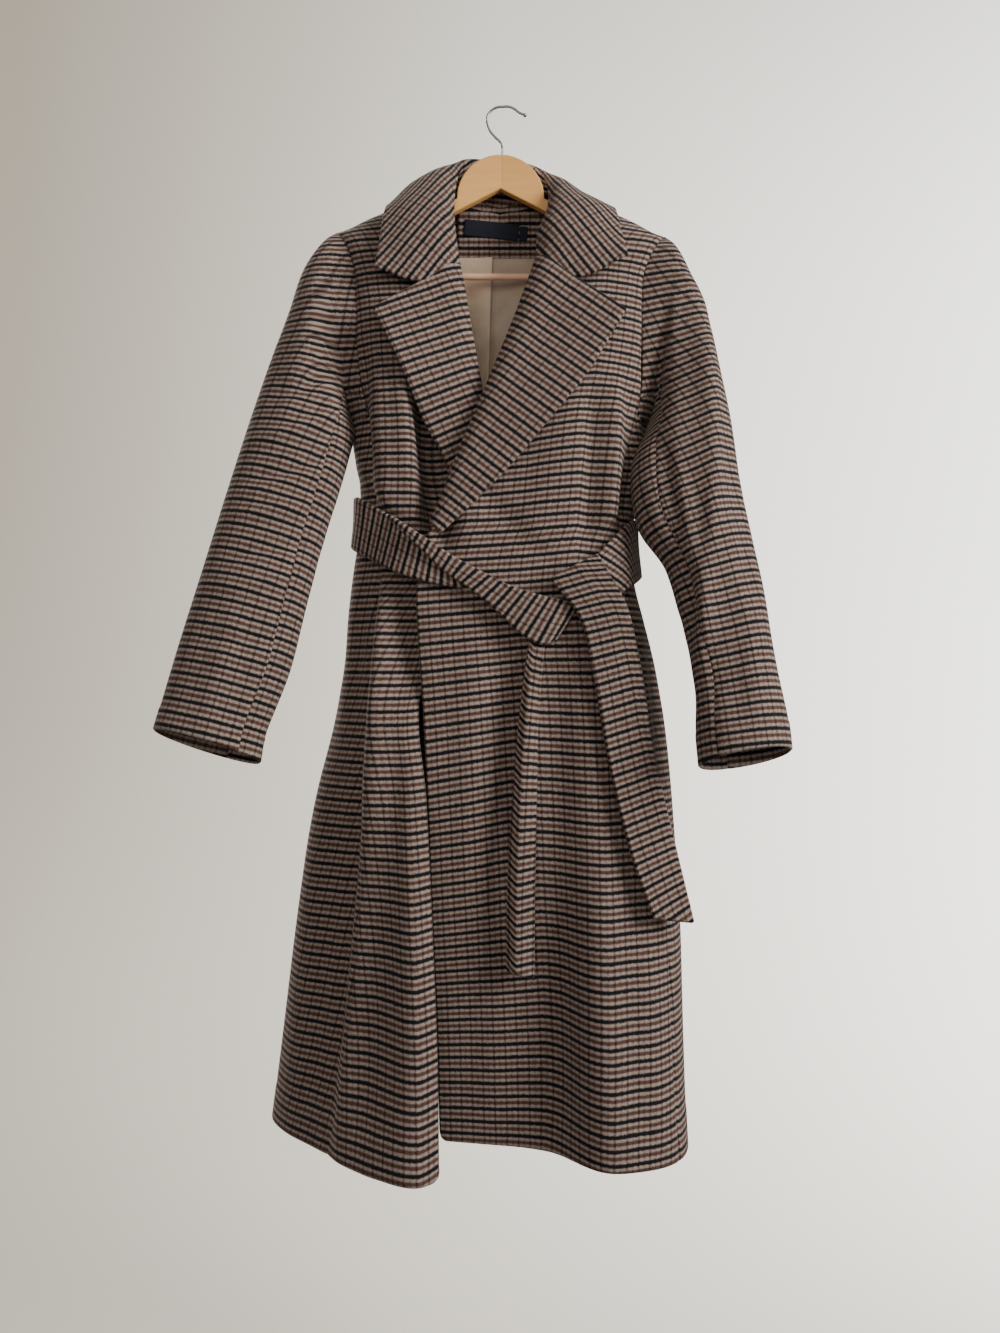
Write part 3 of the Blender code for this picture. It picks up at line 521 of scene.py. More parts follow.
class Half:
    """Half of the coat's body: rows from hem to shoulder, each a curve through its stations."""

    def __init__(self, side, hand, front, back):
        self.side, self.hand = side, hand
        self.heights = np.array([row[0] for row in front], float)
        self.top = self.heights[-1]
        behind = [(CENTRE_X, *row[1], *row[2], *row[3], row[0], *row[4], row[0]) for row in back]
        behind = smooth([row[0] for row in back], behind, self.heights).reshape(-1, 4, 3)
        rows = []
        for row, back_points in zip(front, behind):
            stations = np.array(row[2:], float)
            share = (stations[:, 0] - stations[1, 0]) / (stations[-1, 0] - stations[1, 0])
            levels = row[0] + (row[1] - row[0]) * np.clip(share, 0, 1)
            rows.append(np.vstack([back_points, np.column_stack([stations, levels])]))
        self.rows = np.array(rows)

    def grid(self, places, heights):
        return np.array([along(row, places) for row in smooth(self.heights, self.rows, heights)])

    def at(self, place, height):
        return self.grid([place], [height])[0, 0]

    def at_level(self, place, level, out=0.0):
        """The point at a place and a real height, moved out of the body by a distance."""
        rows = [along(row, [place - 0.04, place, place + 0.04]) for row in self.rows]
        columns = np.swapaxes(rows, 0, 1)
        before, point, after = (smooth(line[:, 2], line, [level])[0] for line in columns)
        below, above = smooth(columns[1][:, 2], columns[1], [level - 2, level + 2])
        return point + unit(np.cross(after - before, above - below)) * self.hand * out


def laid(grid, aims, most_steps=900, least=1e-6):
    """Lengths over a grid that rise along the aims as evenly as cloth that isn't stretched can."""
    index = np.arange(grid[..., 0].size).reshape(grid.shape[:2])
    start = np.concatenate([index[:-1].ravel(), index[:, :-1].ravel()])
    end = np.concatenate([index[1:].ravel(), index[:, 1:].ravel()])
    points, aims = grid.reshape(-1, 3), aims.reshape(-1, 3)
    rises = ((aims[start] + aims[end]) / 2 * (points[end] - points[start])).sum(-1)

    def gathered(values):
        return np.bincount(end, values, len(points)) - np.bincount(start, values, len(points))

    found = points @ aims.mean(0)
    left = gathered(rises - (found[end] - found[start]))
    way = left.copy()
    for _ in range(most_steps):
        size = left @ left
        if size < least:
            break
        spread = gathered(way[end] - way[start])
        share = size / (way @ spread)
        found = found + share * way
        left = left - share * spread
        way = left + (left @ left) / size * way
    return found.reshape(index.shape)


def woven(grid, aims):
    """The lengths across and along a piece whose lengthwise yarns follow the aims."""
    normals = normals_of(grid)
    aims = unit(aims - normals * (aims * normals).sum(-1, keepdims=True))
    return laid(grid, np.cross(normals, aims)), laid(grid, aims)


def path_distance(points, path, count=8):
    """How far points, as (x, z), stand from a bent line, on which side, and how far along it."""
    start, middle, end = path
    t = np.linspace(0, 1, count + 1)[:, None]
    line = (1 - t) ** 2 * start + 2 * t * (1 - t) * middle + t**2 * end
    best = np.full(points.shape[:-1], np.inf)
    side, place = np.zeros_like(best), np.zeros_like(best)
    for i, way in enumerate(np.diff(line, axis=0)):
        offset = points - line[i]
        f = offset @ way / math.hypot(*way) ** 2
        f = np.clip(f, 0 if i > 0 else -np.inf, 1 if i < count - 1 else np.inf)
        gap = offset - f[..., None] * way
        distance = np.hypot(gap[..., 0], gap[..., 1])
        nearer = distance < best
        turned = way[0] * offset[..., 1] - way[1] * offset[..., 0]
        best = np.where(nearer, distance, best)
        side = np.where(nearer, np.sign(turned), side)
        place = np.where(nearer, (i + f) / count, place)
    return best, side, place


def creased(grid, creases):
    """The relief of a table of creases over a grid, each a soft ridge or trough that dies out."""
    points = grid[..., [0, 2]]
    relief = np.zeros(points.shape[:-1])
    for *path, width, height in creases:
        distance, side, place = path_distance(points, np.reshape(path, (3, 2)))
        ends = step(0, 0.45, np.minimum(place + 0.15, 1.15 - place))
        crest = np.exp(-((distance / width) ** 2))
        beside = np.exp(-(((distance * side - 1.9 * width) / (1.2 * width)) ** 2))
        relief += CREASE_GAIN * height * ends * (crest - 0.35 * beside)
    return relief


def groove(apart):
    """The depth of a seam's soft groove at a distance from the seam."""
    return GROOVE * np.exp(-((apart / GROOVE_WIDTH) ** 2))


def placed(name, data):
    """A new object in the scene."""
    obj = bpy.data.objects.new(name, data)
    bpy.context.scene.collection.objects.link(obj)
    return obj


def shell(name, grid, wall, uv, normals=None):
    """A thin cloth of a grid of middle points, with rounded edges and a map of its weave."""
    if normals is None:
        normals = normals_of(grid)
    half = (np.zeros(grid.shape[:2]) + wall)[..., None] / 2
    count = half.size
    index = np.arange(count).reshape(grid.shape[:2])
    flat, uv = grid.reshape(-1, 3), uv.reshape(-1, 2)
    loop = np.concatenate([index[0, :-1], index[:-1, -1], index[-1, :0:-1], index[:0:-1, 0]])
    along_rim = flat[np.roll(loop, -1)] - flat[np.roll(loop, 1)]
    out = unit(np.cross(along_rim, normals.reshape(-1, 3)[loop]))
    if (out * (flat[loop] - flat.mean(0))).sum(-1).mean() < 0:
        out = -out
    rim = flat[loop] + out * half.reshape(-1, 1)[loop] * 0.9
    outer, inner = grid + normals * half, grid - normals * half
    vertices = np.vstack([outer.reshape(-1, 3), inner.reshape(-1, 3), rim]) * MM
    a, b, c, d = index[:-1, :-1], index[:-1, 1:], index[1:, 1:], index[1:, :-1]
    ring = 2 * count + np.arange(len(loop))
    following, loop_next = np.roll(ring, -1), np.roll(loop, -1)
    faces = [
        np.stack([a, d, c, b], -1).reshape(-1, 4),
        np.stack([a, b, c, d], -1).reshape(-1, 4) + count,
        np.stack([loop, loop_next, following, ring], -1),
        np.stack([ring, following, loop_next + count, loop + count], -1),
    ]
    mesh = bpy.data.meshes.new(name + "_cloth")
    mesh.from_pydata(vertices.tolist(), [], np.vstack(faces).tolist())
    order = np.zeros(len(mesh.loops), int)
    mesh.loops.foreach_get("vertex_index", order)
    weave = (np.vstack([uv, uv, uv[loop]]) * MM)[order]
    mesh.uv_layers.new(name="Weave").data.foreach_set("uv", weave.astype(np.float32).ravel())
    mesh.shade_smooth()
    return placed(name + "_cloth", mesh)


def dress(obj, material, slot, *nodes):
    """Puts a mesh piece on the body, right side out, in its material and in place of its solids."""
    work = bmesh.new()
    work.from_mesh(obj.data)
    if work.calc_volume(signed=True) < 0:
        bmesh.ops.reverse_faces(work, faces=work.faces[:])
        work.to_mesh(obj.data)
    work.free()
    obj.data.materials.append(material)
    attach(obj, "root")
    if nodes:
        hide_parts(*nodes)


class Nodes:
    """Builds a material's nodes: maths, ramps and textures over sockets and numbers."""

    def __init__(self, name):
        self.material = bpy.data.materials.new(name)
        self.material.use_nodes = True
        self.tree = self.material.node_tree

    def new(self, kind, **settings):
        node = self.tree.nodes.new(kind)
        for key, value in settings.items():
            setattr(node, key, value)
        return node

    def put(self, socket, value):
        if isinstance(value, bpy.types.NodeSocket):
            self.tree.links.new(value, socket)
        else:
            socket.default_value = value

    def math(self, operation, *values):
        node = self.new("ShaderNodeMath", operation=operation)
        for socket, value in zip(node.inputs, values):
            self.put(socket, value)
        return node.outputs[0]

    def ramp(self, factor, stops):
        node = self.new("ShaderNodeValToRGB")
        elements = node.color_ramp.elements
        while len(elements) < len(stops):
            elements.new(0.5)
        for element, (place, colour) in zip(elements, stops):
            element.position = place
            element.color = (*colour, 1)
        self.put(node.inputs[0], factor)
        return node.outputs[0]

    def tinted(self, first, second, factor=1.0):
        """One colour or grey multiplied by another, wholly or by a factor."""
        node = self.new("ShaderNodeMix", data_type="RGBA", blend_type="MULTIPLY")
        for i, value in ((0, factor), (6, first), (7, second)):
            self.put(node.inputs[i], (*value, 1) if isinstance(value, tuple) else value)
        return node.outputs[2]

    def bands(self, factor, bands):
        """A ramp of bands of colour, each with its start and end, which ends as it begins."""
        stops = [(place, colour) for start, end, colour in bands for place in (start, end)]
        return self.ramp(factor, [*stops, (1.0, bands[0][2])])

    def fed(self, kind, **values):
        """The first output of a new node whose named sockets are fed."""
        node = self.new(kind)
        for name, value in values.items():
            self.put(node.inputs[name], value)
        return node.outputs[0]

    def noise(self, place, scale, detail=2.0, rough=0.5):
        kind = "ShaderNodeTexNoise"
        return self.fed(kind, Vector=place, Scale=scale, Detail=detail, Roughness=rough)

    def bump(self, height, strength, distance, **under):
        kind = "ShaderNodeBump"
        return self.fed(kind, Height=height, Strength=strength, Distance=distance, **under)

    def grain(self, scale, detail, rough):
        """Noise that is drawn out lengthwise, as wood grain is."""
        drawn_out = self.fed("ShaderNodeMapping", Vector=self.solid_place(), Scale=scale)
        return self.noise(drawn_out, 1.0, detail, rough)

    def solid_place(self):
        return self.new("ShaderNodeTexCoord").outputs["Object"]

    def split(self, vector):
        node = self.new("ShaderNodeSeparateXYZ")
        self.put(node.inputs[0], vector)
        return node.outputs

    def weave_axes(self):
        """The crosswise and the lengthwise place in the weave, in millimetres, and its own map."""
        place = self.new("ShaderNodeUVMap", uv_map="Weave").outputs[0]
        u, v, _ = self.split(place)
        return self.math("MULTIPLY", u, 1000.0), self.math("MULTIPLY", v, 1000.0), place

    def done(self, **values):
        shader = self.tree.nodes["Principled BSDF"]
        for name, value in values.items():
            self.put(shader.inputs[name.replace("_", " ")], value)
        return self.material


def wool_check():
    """Brushed wool in a small check: navy, cream and rust stripes crossed by thin dark lines."""
    n = Nodes("wool_check")
    u, v, place = n.weave_axes()
    fuzz = n.noise(place, 420.0, 4.0, 0.65)
    fuzz = n.math("MULTIPLY", n.math("SUBTRACT", fuzz, 0.5), 4.2)
    tooth = n.math("PINGPONG", u, 0.9)
    tooth = n.math("MULTIPLY", n.math("SUBTRACT", tooth, 0.45), 0.7)
    v_edge = n.math("ADD", n.math("ADD", v, fuzz), tooth)
    u_edge = n.math("ADD", u, fuzz)
    weft = n.math("FRACT", n.math("DIVIDE", v_edge, WEFT_REPEAT))
    warp = n.math("FRACT", n.math("DIVIDE", u_edge, WARP_REPEAT))
    past_start, before_end = n.math("GREATER_THAN", weft, 0.48), n.math("LESS_THAN", weft, 0.76)
    strength = n.math("MULTIPLY_ADD", n.math("MULTIPLY", past_start, before_end), 0.22, 0.72)
    colour = n.tinted(n.bands(weft, STRIPES), n.bands(warp, LINES), strength)
    twill = n.math("FRACT", n.math("DIVIDE", n.math("ADD", u, v), 2 * YARN))
    twill = n.math("PINGPONG", n.math("MULTIPLY", twill, 2.0), 1.0)
    yarns = n.math("DIVIDE", n.math("PINGPONG", v, YARN / 2), YARN / 2)
    fibres = n.noise(place, 2600.0, 2.0, 0.7)
    height = n.math("ADD", n.math("MULTIPLY", twill, 0.45), n.math("MULTIPLY", yarns, 0.3))
    height = n.math("ADD", height, n.math("MULTIPLY", fibres, 0.6))
    # The weave's heights also darken the colour where the yarns lie low: painted shade in the
    # weave's hollows.
    shaded = n.tinted(colour, n.math("MULTIPLY_ADD", height, 0.42, 0.66))
    heather = n.noise(place, 110.0, 4.0, 0.6)
    nap = n.noise(place, 240.0, 3.0, 0.6)
    return n.done(
        Base_Color=n.tinted(shaded, n.math("MULTIPLY_ADD", heather, 0.60, 0.70)),
        Roughness=0.94,
        Normal=n.bump(height, 0.55, 0.0003, Normal=n.bump(nap, 0.28, 0.0006)),
        Sheen_Weight=0.16,
        Sheen_Roughness=0.45,
        Sheen_Tint=(0.72, 0.62, 0.56, 1.0),
        Specular_IOR_Level=0.22,
    )


def satin():
    """The beige lining: fine yarns across, a soft shine, painted shade along its folds, and painted
    shadow at and past its pleat.
    """
    n = Nodes("lining_satin")
    u, _, place = n.weave_axes()
    threads = n.math("PINGPONG", u, 0.2)
    slubs = n.noise(place, 300.0)
    folds_and_fold_shade = n.noise(place, 26.0, 2.0, 0.45)
    tone = n.math("MULTIPLY_ADD", slubs, 0.16, 0.92)
    # The folds' noise also darkens the colour where it is low: painted shade along the folds,
    # besides their bump below.
    tone = n.math("MULTIPLY", tone, n.math("MULTIPLY_ADD", folds_and_fold_shade, 0.5, 0.75))
    # Painted shadow: the colour drops sharply at the pleat and stays darker past it, as if the
    # pleat and the lapel shaded it.
    pleat_shadow_place = n.math("MULTIPLY_ADD", u, 1 / 80, 0.5)
    stops = ((0.0, 0.94), (0.485, 0.96), (0.508, 0.46), (0.60, 0.62), (1.0, 0.56))
    painted_pleat_shadow = n.ramp(pleat_shadow_place, [(at, (grey, grey, grey)) for at, grey in stops])
    wrinkles = n.bump(folds_and_fold_shade, 0.6, 0.006)
    return n.done(
        Base_Color=n.tinted(n.tinted((0.84, 0.64, 0.46), painted_pleat_shadow), tone),
        Roughness=n.math("MULTIPLY_ADD", slubs, 0.15, 0.36),
        Normal=n.bump(n.math("ADD", threads, slubs), 0.15, 0.0002, Normal=wrinkles),
        Sheen_Weight=0.15,
        Sheen_Roughness=0.3,
        Specular_IOR_Level=0.5,
    )


def woven_label():
    """The navy label, finely ribbed."""
    n = Nodes("woven_label")
    u, _, place = n.weave_axes()
    ribs = n.math("MULTIPLY", n.math("PINGPONG", u, 0.25), 4.0)
    wear = n.math("MULTIPLY_ADD", n.noise(place, 400.0), 0.5, 0.5)
    # The ribs' heights also lighten the colour on their tops: painted shade between the ribs. The
    # wear noise is a random tone.
    colour = n.tinted((0.010, 0.012, 0.024), n.math("ADD", n.math("MULTIPLY", ribs, 0.35), wear))
    normal = n.bump(ribs, 0.4, 0.0002)
    return n.done(Base_Color=colour, Roughness=0.7, Normal=normal, Specular_IOR_Level=0.25)


def beech():
    """Pale lacquered beech with fine grain along the arms and two boards joined in the middle."""
    n = Nodes("hanger_beech")
    grain = n.grain((14.0, 60.0, 150.0), 4.0, 0.6)
    flecks = n.grain((60.0, 300.0, 1400.0), 2.0, 0.5)
    colour = n.tinted(n.ramp(grain, BEECH_TONES), n.math("MULTIPLY_ADD", flecks, 0.14, 0.93))
    x = n.split(n.solid_place())[0]
    second_board = n.math("GREATER_THAN", x, BOARD_JOINT * MM)
    colour = n.tinted(colour, (0.90, 0.88, 0.84), second_board)
    joint = n.math("ABSOLUTE", n.math("SUBTRACT", x, BOARD_JOINT * MM))
    joint = n.math("LESS_THAN", joint, HALF_JOINT * MM)
    return n.done(
        Base_Color=n.tinted(colour, (0.70, 0.62, 0.52), joint),
        Roughness=n.math("MULTIPLY_ADD", grain, 0.16, 0.34),
        Normal=n.bump(flecks, 0.12, 0.0002),
        Coat_Weight=0.25,
        Coat_Roughness=0.3,
    )


def bar_wood():
    """The bar: turned wood, pinker than the hanger."""
    n = Nodes("bar_wood")
    grain = n.grain((20.0, 260.0, 260.0), 3.0, 0.6)
    colour = n.ramp(grain, ((0.3, (1.0, 0.56, 0.36)), (0.7, (1.0, 0.62, 0.41))))
    return n.done(Base_Color=colour, Roughness=0.45, Normal=n.bump(grain, 0.1, 0.0002))


def wire():
    """Drawn steel wire with faint lengthwise scratches."""
    n = Nodes("hook_steel")
    scratches = n.noise(n.solid_place(), 900.0, 3.0, 0.7)
    rough = n.math("MULTIPLY_ADD", scratches, 0.25, 0.22)
    colour = n.tinted((0.36, 0.36, 0.37), n.math("MULTIPLY_ADD", scratches, 0.3, 0.8))
    return n.done(Base_Color=colour, Roughness=rough, Metallic=1.0)


WOOL, SATIN, LABEL_CLOTH = wool_check(), satin(), woven_label()


def sewn(name, grid, wall, uv, normals=None):
    """A piece of the coat's wool, in place of the solid of its name."""
    dress(shell(name, grid, wall, uv, normals), WOOL, "coat_cloth", name)


def body(half, lift_table):
    """The back, side and front panels of one half, creased and drawn in at their seams."""
    places, spans = np.zeros(1), []
    for _, start, end, columns, _ in PANELS:
        count = columns[half.side == "right"]
        spans.append(slice(len(places) - 1, len(places) - 1 + count))
        places = np.append(places, crowded(start, end, count)[1:])
    heights = np.linspace(HEM, UNDERARM, SKIRT_ROWS)
    heights = np.append(heights, np.linspace(UNDERARM, half.top, CHEST_ROWS)[1:])
    grid = half.grid(places, heights)
    normals = normals_of(grid, half.hand)
    lengths = arc(grid, 1)
    front = step(*FRONT_STARTS, places)
    relief = creased(grid, FRONT_CREASES) * front + creased(grid, BACK_CREASES) * (1 - front)
    band, *edges = BELT_BAND[half.side]
    above, below = (grid[..., 2] - np.interp(places, band, edge) for edge in edges)
    held = step(-14, 4, below) * (1 - step(-4, 14, above))
    relief = relief * (1 - held) + np.minimum(relief, 0) * HELD_TROUGHS * held
    fade_start, fade_end = (half.top - depth for depth in SHOULDER_FADE)
    relief *= 1 - step(fade_start, fade_end, heights)[:, None]
    for seam in (CENTRE, BACK_SEAM, PRINCESS):
        relief -= groove(abs(lengths - lengths[:, [nearest(places, seam)]]))
    grid = grid + normals * relief[..., None]
    # The front edge's corner at the hem is rounded off.
    edge_apart = lengths[:, -1:] - lengths
    corner = np.clip(CORNER_RADIUS - edge_apart, 0, CORNER_RADIUS)
    rise = CORNER_RADIUS - np.sqrt(CORNER_RADIUS**2 - corner**2)
    grid[..., 2] += rise * (1 - step(HEM, HEM + 12, grid[..., 2]))
    normals = normals_of(grid, half.hand)
    # Across, the check starts at the front edge, and over the break it goes on as it was there.
    ridge, break_row = nearest(places, RIDGE), nearest(heights, BREAK[half.side])
    edge_u = lengths[:, -1] - lengths[:, ridge]
    edge_u[break_row + 1 :] = edge_u[break_row]
    u = lengths - lengths[:, [ridge]] - edge_u[:, None]
    table = np.array(lift_table, float)
    row_lifts = np.column_stack([np.interp(heights, table[:, 0], column) for column in table.T[1:]])
    stations = (PRINCESS, RIDGE, HOLLOW, EDGE)
    v = grid[..., 2] - [np.interp(places, stations, (0, *lifts)) for lifts in row_lifts]
    turned_up = 1 - step(HEM + HEM_DEPTH - 3, HEM + HEM_DEPTH, grid[..., 2])
    wall = COAT_WALL + (HEM_WALL - COAT_WALL) * turned_up
    folded = np.maximum(wall, COAT_WALL + EDGE_PAD * (1 - step(3, 30, edge_apart)))
    for (name, _, _, _, start), span in zip(PANELS, spans):
        part = (slice(SKIRT_ROWS) if name == "side_" else slice(None), span)
        panel_u = u[part] if name == "front_" else lengths[part] - lengths[part][:, :1]
        uv = np.stack([panel_u, v[part]], -1) + start
        panel_wall = (folded if name == "front_" else wall)[part]
        sewn(name + half.side, grid[part], panel_wall, uv, normals[part])


def lapel_line(half, level, edge, roll):
    """One row of a lapel: its seam, its fold, the start, the middle and the edge of its fall."""
    seam = half.at_level(EDGE, level)
    fold = seam + (half.hand * roll, -roll, 0)
    start = seam + (0, -2 * roll, 0)
    middle = start + (edge - start) * ROLL_SHARE + (0, -1.5, 0)
    return np.array([seam, fold, start, middle, edge])


def lapel(half, table):
    """A front's turned-back facing, which doubles over the roll line and runs out to its edge."""
    keys = [row[0] for row in table]
    levels = np.interp(np.linspace(0, len(table) - 1, LAPEL_ROWS), range(len(table)), keys)
    edges = smooth(keys, [row[1] for row in table], levels)
    rolls = ROLL * np.minimum(1, np.linspace(0.6, 2.2, LAPEL_ROWS))
    lines = [lapel_line(half, *values) for values in zip(levels, edges, rolls)]
    grid = seam_gapped(np.array([along(line, fall_places(22)) for line in lines]), 0.8, 0)
    grid[-1] += unit(grid[-2] - grid[-1]) * 0.7
    sine, cosine = math.sin(LAPEL_TILT[half.side]), math.cos(LAPEL_TILT[half.side])
    uv = grid @ np.array(((cosine, -sine), (0, 0), (sine, cosine)))
    sewn("lapel_" + half.side, grid, FOLDED_WALL, uv)


def collar_lines(half, table, lapel_table, corner):
    """The rows of half a collar, from the gorge, where it meets the lapel, to the back."""
    gorge, lapel_corner = lapel_table[-1]
    lines = [lapel_line(half, gorge, np.array(corner, float), ROLL)]
    lines[0][3] = lapel_line(half, gorge, np.array(lapel_corner, float), ROLL)[3]
    for turn, *points in table:
        if turn > 1:
            seam = half.at_level(EDGE, NECK_TOP + (gorge - NECK_TOP) * (turn - 1))
        else:
            seam = half.at(turn, half.top)
        lines.append(np.array([seam, *points], float))
    return lines


def collar(left, right):
    """The collar, stand and fall in one, with its check bent round the neck and down its leaves."""
    lines = collar_lines(left, LEFT_COLLAR, LEFT_LAPEL, COLLAR_CORNERS[0])
    lines.append(np.array([left.at(0, left.top), *CENTRE_COLLAR], float))
    lines += collar_lines(right, RIGHT_COLLAR, RIGHT_LAPEL, COLLAR_CORNERS[1])[::-1]
    lines = np.array(lines)
    steps = np.linspace(0, len(lines) - 1, COLLAR_ROWS)
    lines = np.array([along(lines[:, i], steps) for i in range(5)])
    lines = seam_gapped(lines, 0.7, 0.7).transpose(1, 0, 2)
    places = fall_places(24)
    grid = seam_gapped(np.array([along(line, places) for line in lines]), 1.2, 0)
    fold, middle = nearest(places, 1), COLLAR_ROWS // 2
    around = arc(grid)[:, fold]
    around = around - around[middle]
    side_of = np.sign(around)[:, None, None]
    turned = (COLLAR_TURN * step(*TURN_SPAN, abs(around)))[:, None, None]
    outward, onward = unit(np.gradient(grid, axis=1)), unit(np.gradient(grid, axis=0)) * side_of
    aims = outward * np.cos(turned) - onward * np.sin(turned)
    leaf = step(*LEAF_SPAN, abs(around))[:, None, None] * step(1.0, 1.4, places)[None, :, None]
    aims = aims * (1 - leaf) + leaf * (side_of * (LEAF_OUT, 0, 0) + (0, 0, LEAF_UP))
    u, v = woven(grid, aims)
    uv = np.stack([u - u[middle, fold], v - v[middle, fold]], -1)
    sewn("collar", grid, FOLDED_WALL, uv)


def armhole(half):
    """The seam round an armhole, down the front and up the back."""
    down = np.linspace(half.top, UNDERARM, 60)
    halves = []
    for seam in (PRINCESS, BACK_SEAM):
        line = [half.at(seam, height) for height in down]
        line += [half.at(place, UNDERARM) for place in np.linspace(seam, UNDERARM_PLACE, 20)[1:]]
        line = np.array(line)
        lengths = arc(line)
        shares = np.linspace(0, lengths[-1], SLEEVE_COLUMNS // 2 + 1)
        halves.append(np.column_stack([np.interp(shares, lengths, column) for column in line.T]))
    ring = np.vstack([halves[0], halves[1][-2:0:-1]])
    ring[:, 0] -= half.hand * 0.2
    return ring


def sleeve_aims(half, rings, tube, around):
    """The way of a sleeve's lengthwise yarns: down the arm, bent at the elbow, level at the cap."""
    top, elbow, cuff = (rings[i].mean(0) for i in (4, -5, -1))
    upper, lower = unit(elbow - top), unit(cuff - elbow)
    bend = step(-90, 90, (tube - elbow) @ unit(upper + lower))[..., None]
    cap = rings[1].mean(0) + (0, 0, CAP_DEPTH)
    near_cap = (1 - step(-60, 160, (tube - cap) @ upper))[..., None]
    aims = (upper * (1 - bend) + lower * bend) * (1 - near_cap)
    aims += near_cap * unit(np.array((half.hand * 0.03, 0.12, -1.0)))
    if half.side == "right":
        share = around[:, :-1] / around[:, -1:]
        inner = step(0.04, 0.14, share) * (1 - step(0.5, 0.66, share))
        aims[..., 0] += np.interp(tube[..., 2], *INNER_LEAN) * inner
    return aims


def sleeve(half, table, creases):
    """A top and an under sleeve, creased, from rings that start at the armhole."""
    turn = np.arange(SLEEVE_COLUMNS) / SLEEVE_COLUMNS * 2 * math.pi
    to_side, to_front = np.cos(turn)[:, None], np.sin(turn)[:, None]
    rings = [armhole(half)]
    for outer, inner, depth, half_depth, rise in table:
        outer_point, inner_point = (np.array((x, depth, z), float) for x, z in (outer, inner))
        centre = (outer_point + inner_point) / 2
        front = np.array((0, -half_depth, rise * half_depth))
        rings.append(centre + to_side * (outer_point - centre) + to_front * front)
    last = len(table)
    places = np.append(np.linspace(0, 1, CAP_ROWS), np.linspace(1, last, SLEEVE_ROWS)[1:])
    tube = smooth(range(len(rings)), rings, places)
    wrapped = np.concatenate([tube[:, -1:], tube, tube[:, :1]], axis=1)
    normals = normals_of(wrapped, -half.hand)[:, 1:-1]
    front = step(-0.35, 0.35, -normals[..., 1])
    relief = creased(tube, creases) * front + creased(tube, SLEEVE_BACK_CREASES) * (1 - front)
    relief *= (step(0.4, 2.0, places) * (1 - step(last - 0.7, last, places)))[:, None]
    around = arc(wrapped[:, 1:], 1)
    for column in SLEEVE_SEAMS:
        apart = abs(around[:, :-1] - around[:, [column]])
        relief -= groove(np.minimum(apart, around[:, -1:] - apart))
    tube = tube + normals * relief[..., None]
    aims = sleeve_aims(half, rings, tube, around)
    wall = np.where(places > last - 0.9, HEM_WALL, COAT_WALL)[:, None]
    first_seam, second_seam = SLEEVE_SEAMS
    pieces = (
        ("sleeve_top_", np.r_[second_seam:SLEEVE_COLUMNS, 0 : first_seam + 1], 3.0),
        ("sleeve_under_", np.r_[first_seam : second_seam + 1], 6.0),
    )
    seam_v = None
    for name, chosen, u_shift in pieces:
        grid = tube[:, chosen]
        u, v = woven(grid, aims[:, chosen])
        v = v[-1, len(chosen) // 2] - v + CUFF_PHASE
        if seam_v is None:
            seam_v = v[:, -1]
        else:
            v = v + (seam_v - v[:, 0]).mean() + SEAM_SHIFT
        uv = np.stack([u - u[-1, 0] + u_shift, v], -1)
        sewn(name + half.side, grid, wall, uv, normals[:, chosen])


def across_back(first, last, places):
    """Pairs of a half and a place, from the outermost place on one half to that on the other."""
    return [(first, place) for place in places[:0:-1]] + [(last, place) for place in places]


def ribbon(table, steps, columns=18):
    """A flat stretch of belt between its upper and its lower edge."""
    table = np.array(table, float)
    places = np.linspace(0, len(table) - 1, steps)
    upper, lower = along(table[:, 0], places), along(table[:, 1], places)
    shares = crowded(0, 1, columns, 0.6)[None, :, None]
    return upper[:, None] * (1 - shares) + lower[:, None] * shares


def belt(name, grid, slant=None, shape=None):
    """A stretch of belt: two layers of coat cloth turned in at the edges, and its check's slant."""
    run = arc(grid)[:, [grid.shape[1] // 2]]
    across = arc(grid, 1)
    u = across - across.mean(1, keepdims=True)
    v = run + (slant(across, run) if slant else 0 * u)
    normals = normals_of(grid)
    share = across / across[:, -1:]
    puff = 0.5 * np.sin(math.pi * share) + 0.35 * np.sin(run / 17.0 + share * 2.0)
    puff = puff * np.sin(math.pi * share) * -np.sign(normals[..., 1].mean())
    grid = grid + normals * puff[..., None]
    if shape:
        grid[..., 1] += shape(share, run)
    sewn(name, grid, BELT_WALL, np.stack([u, v], -1))


def belt_wrap(left, right):
    """The belt from the knot's right side round the back to its left side."""
    out = (SOLID_WALL + BELT_WALL) / 2 + BELT_GAP
    places = across_back(right, left, BELT_PLACES)
    back = []
    for number, (half, place) in enumerate(places):
        share = (number + 0.5) / len(places)
        levels = (start + (end - start) * share for start, end in (BELT_TOP, BELT_LOW))
        back.append([half.at_level(place, level, out) for level in levels])
    return ribbon([*BELT_RIGHT, *back, *BELT_LEFT], 300)


def narrow_shape(share, run):
    """The narrow tail bends along a lengthwise crease, and its right part faces the window."""
    past = share - NARROW_CREASE
    bend = 6.5 * np.where(past < 0, -past / NARROW_CREASE, past / (1 - NARROW_CREASE))
    return (bend - 4.5) * step(20, 90, run)


def wide_shape(share, run):
    """The wide tail hangs a little askew, its left edge forward."""
    return 5.0 * (share - 0.5) * step(50, 130, run)


def narrow_slant(across, run):
    """The check runs down to the crease on one side of it and up again on the other."""
    past = across - across[:, -1:] * NARROW_CREASE
    rise = np.interp(run, (0, 180, 380), (0.05, 0.20, 0.42))
    return np.where(past < 0, -past * 0.80, past * rise)


